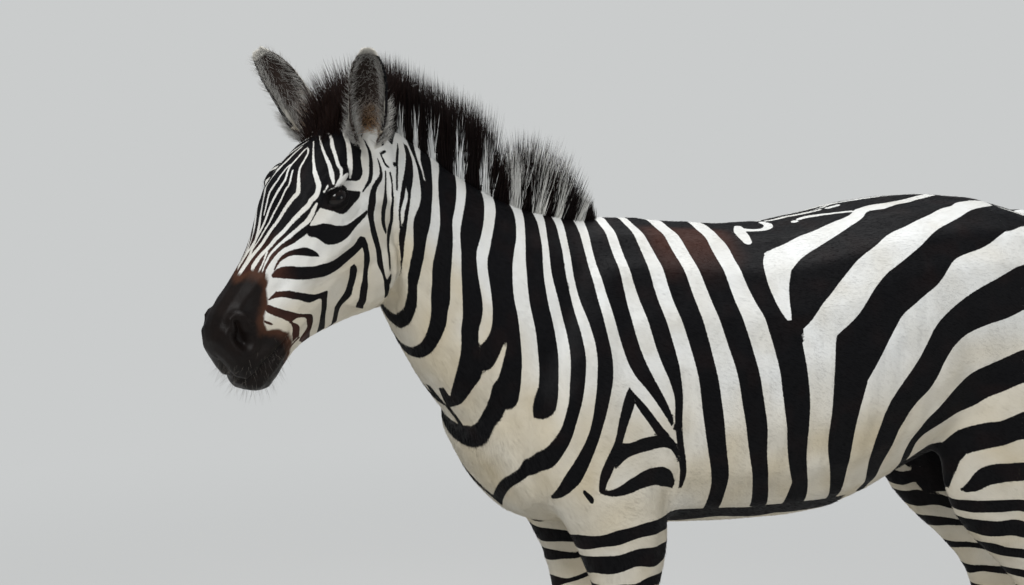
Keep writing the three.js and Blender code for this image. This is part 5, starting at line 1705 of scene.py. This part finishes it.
def coat_cover(co, p):
    """How full the short coat is, 0 to 1: none on lids and in nostrils, thinner on the lips."""
    clear = np.ones(len(p))
    for side in SIDES:
        across, height, r, ahead = eye_angles(co, side)
        upper, lower = lid_edges(np.clip(across, -LID_REACH, LID_REACH))
        near = (r < BALD) & (ahead > 0)
        clear[near & (np.abs(across) < LID_REACH + 10) & (height < upper + 14) & (height > lower - 10)] = 0
    s, a, _ = head_map(p)
    nostril = -stroke(s, np.abs(a), np.full(len(p), 0.9), [(*point, 0) for point in NOSTRIL], 40)
    clear[(p[:, 0] < HEAD_EDGE) & (nostril < 10)] = 0
    lips = (p[:, 0] < HEAD_EDGE) * step(muzzle_depth(p), 10, 40)
    return clear * (1 - 0.4 * lips)


class ZEBRA_OT_coat(bpy.types.Operator):
    """Plant the short coat over the hide, piece by piece"""
    bl_idname = "zebra.coat"
    bl_label = "Short coat"

    def execute(self, context):
        settings = context.scene.zebra_coat
        mesh = made_skin().data
        co, _ = mesh_arrays(mesh)
        p = unbend(co)
        tree = hair_tree("zebra_short_coat_tufts", 1)
        material = striped_hair("zebra_short_coat", True)
        low = (p[:, 2] < LEG_COAT_TOP) & (np.abs(p[:, 1]) > LEG_SIDE)
        cover = coat_cover(co, p)
        for i, (name, first, last, side, spacing, density, width) in enumerate(COAT_PARTS):
            here = (p[:, 0] >= first) & (p[:, 0] < last) & (p[:, 1] * side >= 0) & ~low
            if name == "coat_legs":
                here = low & ~(p[:, 2] < HOOF_LINE)
            set_values(mesh, "grow", here * cover)
            plant(name, mesh, tree, material, {
                "Spacing": spacing, "Density": density * settings.density, "Seed": settings.seed + i, "Width": width,
                "Flatness": 0.03, "Rise": settings.rise, "Sink": 0.035, "Spread": 0.22}, short_coat_tone, hug=0.8)
        set_values(mesh, "grow", np.ones(len(p)))
        return {"FINISHED"}


# Crest of the mane from front to back: (foot x, foot z, tip x, tip z, half width), and the forelock's.
MANE = [
    (-850, 1468, -866, 1602, 20), (-790, 1445, -806, 1592, 20), (-730, 1410, -752, 1562, 20),
    (-670, 1371, -682, 1534, 20), (-609, 1338, -615, 1500, 20), (-545, 1306, -540, 1464, 20),
    (-480, 1292, -462, 1418, 19), (-440, 1282, -425, 1362, 16), (-392, 1278, -396, 1310, 10)]
FORELOCK = [
    (-985, 1445, -990, 1492, 12), (-958, 1462, -968, 1545, 22), (-925, 1476, -940, 1580, 24),
    (-890, 1480, -905, 1598, 22), (-852, 1468, -869, 1602, 20)]


def crest_bed(rows, tall, splay, sink):
    """A bed along the crest whose hair points to the crest's tips and splays outwards at its sides."""
    stations, columns = 90, 7
    smooth = smooth_rows(rows, 0, stations)
    points, combs, outs, lengths = [], [], [], []
    for fx, fz, tx, tz, half in smooth:
        length = math.hypot(tx - fx, tz - fz)
        for j in range(columns):
            v = 2 * j / (columns - 1) - 1
            points.append((fx, v * half * 0.80, fz - sink - 6 * v * v))
            combs.append(((tx - fx) / length, v * splay, (tz - fz) / length))
            outs.append((0.15, 1.0 if v >= 0 else -1.0, 0.0))
            notch = NOTCH_DEPTH * math.exp(-((fx - NOTCH) / NOTCH_REACH) ** 2)
            lengths.append((length + sink) * tall * (1 - 0.10 * v * v) * (1 - notch) / 1000)
    points, combs, outs = (np.array(a, float) for a in (points, combs, outs))
    x = points[:, 0]
    return hair_bed(bend(points), turn_vectors(unit(combs), x), turn_vectors(outs, x), lengths, stations, columns)


class ZEBRA_OT_mane(bpy.types.Operator):
    """Plant the upright mane and the forelock"""
    bl_idname = "zebra.mane"
    bl_label = "Mane and forelock"

    def execute(self, context):
        settings = context.scene.zebra_hair
        tree = hair_tree("zebra_mane_locks", 4)
        colours = context.scene.zebra_colours
        material = loose_hair(
            "mane_hair_coarse", colours.white_hair, srgb("#B4AE9C"), colours.black_hair, srgb("#2C1B14"), 0.48)
        values = {
            "Spacing": 0.00075, "Density": 1300000.0, "Seed": settings.seed, "Width": 0.0023, "Flatness": 0.007,
            "Rise": 0.02, "Curl": 0.0, "Sink": 0.0, "Spread": 0.15, "Sway": 0.012}
        front = crest_bed(MANE[:5], settings.mane_length, 0.10, 10)
        back = crest_bed(MANE[4:], settings.mane_length, 0.16, 10)
        mane = plant("mane_hair_front", front, tree, material, values, long_hair_tone("mane"))
        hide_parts("mane")
        plant("mane_hair_back", back, tree, material, {
            **values, "Density": 760000.0, "Spread": 0.20, "Sway": 0.020, "Width": 0.0019}, long_hair_tone("mane"))
        lock = crest_bed(FORELOCK, 0.98, 0.34, 12)
        fringe = plant("forelock_hair", lock, tree, material, {
            **values, "Spacing": 0.0009, "Density": 1000000.0, "Spread": 0.42, "Sway": 0.020},
            long_hair_tone("forelock"))
        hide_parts("forelock")
        return {"FINISHED"}


# The tail's middle line and half depth and half width, from the root down, in mm.
TAIL = [
    (690, 1030, 15, 17), (694, 950, 15, 16), (695, 880, 14, 15), (694, 800, 13, 14), (691, 710, 11, 12),
    (689, 630, 8, 8), (690, 560, 4, 4)]


TAIL_HAIR = 0.20  # metres
TAIL_END, BRUSH_TOP = 532, 900  # heights in mm where the hair ends and where it grows full length
LONGEST_TUFT = 1.13  # times the set length


class ZEBRA_OT_tail(bpy.types.Operator):
    """Plant the tail's brush"""
    bl_idname = "zebra.tail"
    bl_label = "Tail hair"

    def execute(self, context):
        smooth = smooth_rows(TAIL, 1, 60)
        around, points, combs, outs, lengths = 20, [], [], [], []
        for x, z, deep, wide in smooth:
            for j in range(around):
                turn = 2 * math.pi * j / around
                away = np.array((math.cos(turn), math.sin(turn), 0.0))
                points.append((x + deep * away[0], wide * away[1], z))
                combs.append(away * 0.10 + (0, 0, -1))
                outs.append(away)
                longest = max(z - TAIL_END, 30) / 1000 / LONGEST_TUFT
                lengths.append(min(TAIL_HAIR, longest) * (1.0 if z < BRUSH_TOP else 0.6))
        bed = hair_bed(
            bend(points), unit(np.array(combs)), np.array(outs), lengths, len(smooth), around, closed=True)
        tree = hair_tree("zebra_mane_locks", 4)
        colours = context.scene.zebra_colours
        material = loose_hair(
            "tail_hair_coarse", colours.white_hair, srgb("#B4AE9C"), colours.black_hair, srgb("#2A1A13"), 0.45)
        brush = plant("tail_brush_hair", bed, tree, material, {
            "Spacing": 0.0016, "Density": 330000.0, "Seed": context.scene.zebra_hair.seed + 5, "Width": 0.0032,
            "Flatness": 0.006, "Rise": 0.07, "Curl": 0.05, "Sink": 0.005, "Spread": 0.10, "Sway": 0.018},
            long_hair_tone("tail"))
        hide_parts("tail_tuft")
        return {"FINISHED"}


class ZEBRA_OT_ears(bpy.types.Operator):
    """Plant the soft hair inside the ears"""
    bl_idname = "zebra.ears"
    bl_label = "Ear hair"

    def execute(self, context):
        mesh = made_skin().data.copy()
        co, _ = mesh_arrays(mesh)
        p = unbend(co)
        out = get_values(mesh, "out", 3)
        axis, up, opening, away, facing = ear_map(p)
        straight_out = turn_vectors(out, p[:, 0], back=True)
        open_side = np.sum(straight_out * facing, axis=1)
        inner = (up > 0.03) & (up < 0.94) & (away < EAR_CUP) & (p[:, 0] < EAR_STATION) & (open_side > 0.05)
        edge = opening - np.interp(up, *EAR_RIM)
        thick = np.maximum(step(edge, -17, -9) * step(-edge, 1.5, 4.5), 0.55 * step(-up, -0.42, -0.25)) + 0.10
        axis = unit(axis)
        inwards = straight_out - axis * np.sum(straight_out * axis, axis=1)[:, None]
        comb = turn_vectors(axis * 0.75 + inwards * 0.45 + facing * 0.25, p[:, 0])
        dress(mesh, unit(comb), out, 0.026 - 0.010 * up, inner * np.minimum(thick, 1))
        tree = hair_tree("zebra_fine_locks", 3)
        material = loose_hair("ear_hair_soft", srgb("#B7B5B0"), srgb("#A8752F"), srgb("#141214"), srgb("#2C1B14"), 0.6)
        plant("ear_hair", mesh, tree, material, {
            "Spacing": 0.0011, "Density": 520000.0, "Seed": 9, "Width": 0.0007, "Flatness": 0.010, "Rise": 0.10,
            "Curl": 0.12, "Sink": 0.04, "Spread": 0.55, "Sway": 0.010}, long_hair_tone("ear"))
        return {"FINISHED"}


class ZEBRA_OT_whiskers(bpy.types.Operator):
    """Plant the lashes and the whiskers of lips and chin"""
    bl_idname = "zebra.whiskers"
    bl_label = "Lashes and whiskers"

    def execute(self, context):
        mesh = made_skin().data.copy()
        tree = hair_tree("zebra_fine_locks", 3)
        black = loose_hair("lash_hair_black", srgb("#9C968D"), srgb("#8A8378"), srgb("#090809"), srgb("#1A1210"), 0.5)
        for side, (centre, _, front, up) in EYE_FRAMES.items():
            columns, points, combs, outs = 41, [], [], []
            for row in range(2):
                for across in np.linspace(-42, 44, columns):
                    height = float(lid_edges(np.array([across]))[0][0]) + 5 + 4 * row
                    outward = ray(side, math.radians(across), math.radians(height))
                    points.append(centre + (EYE_RADIUS + 0.0018) * outward)
                    combs.append(outward * 0.8 + front * 0.25 - up * 0.30)
                    outs.append(up)
            bed = hair_bed(
                np.array(points), unit(np.array(combs)), np.array(outs), np.full(len(points), 0.012), 2, columns)
            plant("eyelashes_" + side, bed, tree, black, {
                "Spacing": 0.0003, "Density": 4000000.0, "Seed": 4, "Width": 0.0004, "Flatness": 0.012, "Rise": 0.0,
                "Curl": -0.18, "Sink": 0.0, "Spread": 0.16, "Sway": 0.002}, long_hair_tone("lash"))
        co, _ = mesh_arrays(mesh)
        p = unbend(co)
        out = get_values(mesh, "out", 3)
        s, a, _ = head_map(p)
        comb = out * 0.7 + turn_vectors(np.tile((-0.25, 0.0, -0.55), (len(p), 1)), p[:, 0])
        on_lips = (p[:, 0] < HEAD_EDGE) * step(s, 296, 330) * step(np.abs(a), 88, 130)
        dress(mesh, unit(comb), out, 0.020 + 0.010 * step(np.abs(a), 120, 160), on_lips)
        grey = loose_hair("whisker_grey", srgb("#7A756E"), srgb("#6A645B"), srgb("#090809"), srgb("#1A1210"), 0.5)
        plant("muzzle_whiskers", mesh, tree, grey, {
            "Spacing": 0.004, "Density": 14000.0, "Seed": 5, "Width": 0.00035, "Flatness": 0.006, "Rise": 0.0,
            "Curl": 0.10, "Sink": 0.03, "Spread": 0.5, "Sway": 0.006}, long_hair_tone("whisker"))
        return {"FINISHED"}


class ZEBRA_OT_hooves(bpy.types.Operator):
    """Give the CAD hooves their horn"""
    bl_idname = "zebra.hooves"
    bl_label = "Hooves"

    def execute(self, context):
        horn = hoof_horn()
        for name in HOOVES:
            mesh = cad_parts[name].data
            mesh.materials.clear()
            mesh.materials.append(horn)
        return {"FINISHED"}


class ZEBRA_OT_stage(bpy.types.Operator):
    """Set up floor, soft lights and camera"""
    bl_idname = "zebra.stage"
    bl_label = "Stage"

    def execute(self, context):
        scene = context.scene
        s = scene.zebra_stage
        bm = bmesh.new()
        bmesh.ops.create_circle(bm, cap_ends=True, cap_tris=False, segments=96, radius=90)
        mesh = bpy.data.meshes.new("floor")
        bm.to_mesh(mesh)
        bm.free()
        floor = in_scene("floor", mesh)
        mesh.materials.append(pale_floor())
        world = bpy.data.worlds.new("studio")
        scene.world = world
        world.use_nodes = True
        tree = world.node_tree
        tree.nodes.clear()
        soft = add(tree, "ShaderNodeBackground", {"Color": srgb("#DDE2E8"), "Strength": 0.43})
        plain = add(tree, "ShaderNodeBackground", {"Color": scene.zebra_colours.backdrop})
        seen = add(tree, "ShaderNodeLightPath").outputs["Is Camera Ray"]
        add(tree, "ShaderNodeOutputWorld", {"Surface": add(tree, "ShaderNodeMixShader", {0: seen, 1: soft, 2: plain})})
        for name, place, aim, size, power in (
                ("key", (-3.2, -3.4, 4.6), (-0.2, 0, 1.0), 2.4, 235),
                ("overhead", (0.6, 0.8, 4.8), (0.1, 0, 1.0), 3.0, 135),
                ("fill", (4.0, -4.4, 2.0), (0.2, 0, 0.9), 3.0, 60)):
            light = bpy.data.lights.new(name, "AREA")
            light.shape, light.size, light.energy = "DISK", size, power
            obj = bpy.data.objects.new(name, light)
            obj.location = place
            obj.rotation_euler = (Vector(aim) - Vector(place)).to_track_quat("-Z", "Y").to_euler()
            scene.collection.objects.link(obj)
        camera = bpy.data.objects.new("camera", bpy.data.cameras.new("camera"))
        camera.data.lens, camera.data.sensor_width, camera.data.clip_end = s.lens, 36.0, 400
        level = math.cos(s.elevation)
        back = Vector((math.sin(s.azimuth) * level, -math.cos(s.azimuth) * level, math.sin(s.elevation)))
        camera.location = Vector(s.target) + back * s.distance
        camera.rotation_euler = back.to_track_quat("Z", "Y").to_euler()
        scene.collection.objects.link(camera)
        scene.camera = camera
        scene.view_settings.view_transform = "Standard"
        return {"FINISHED"}


class ZEBRA_PT_panel(bpy.types.Panel):
    """Zebra steps in order"""
    bl_label = "Zebra"
    bl_idname = "ZEBRA_PT_panel"
    bl_space_type = "VIEW_3D"
    bl_region_type = "UI"
    bl_category = "Zebra"

    def draw(self, context):
        for operator in OPERATORS:
            self.layout.operator(operator.bl_idname)


SETTINGS = {
    "zebra_colours": ZebraColourSettings, "zebra_skin": ZebraSkinSettings, "zebra_coat": ZebraCoatSettings,
    "zebra_hair": ZebraHairSettings, "zebra_stage": ZebraStageSettings}
OPERATORS = (
    ZEBRA_OT_stage, ZEBRA_OT_skin, ZEBRA_OT_eyes, ZEBRA_OT_coat, ZEBRA_OT_mane, ZEBRA_OT_ears, ZEBRA_OT_whiskers,
    ZEBRA_OT_tail, ZEBRA_OT_hooves)


def register():
    for cls in (*SETTINGS.values(), *OPERATORS, ZEBRA_PT_panel):
        bpy.utils.register_class(cls)
    for name, cls in SETTINGS.items():
        setattr(bpy.types.Scene, name, PointerProperty(type=cls))


def unregister():
    for name in SETTINGS:
        delattr(bpy.types.Scene, name)
    for cls in (ZEBRA_PT_panel, *reversed(OPERATORS), *SETTINGS.values()):
        bpy.utils.unregister_class(cls)


def main():
    register()
    for operator in OPERATORS:
        group, name = operator.bl_idname.split(".")
        getattr(getattr(bpy.ops, group), name)()


if __name__ == "__main__":
    main()
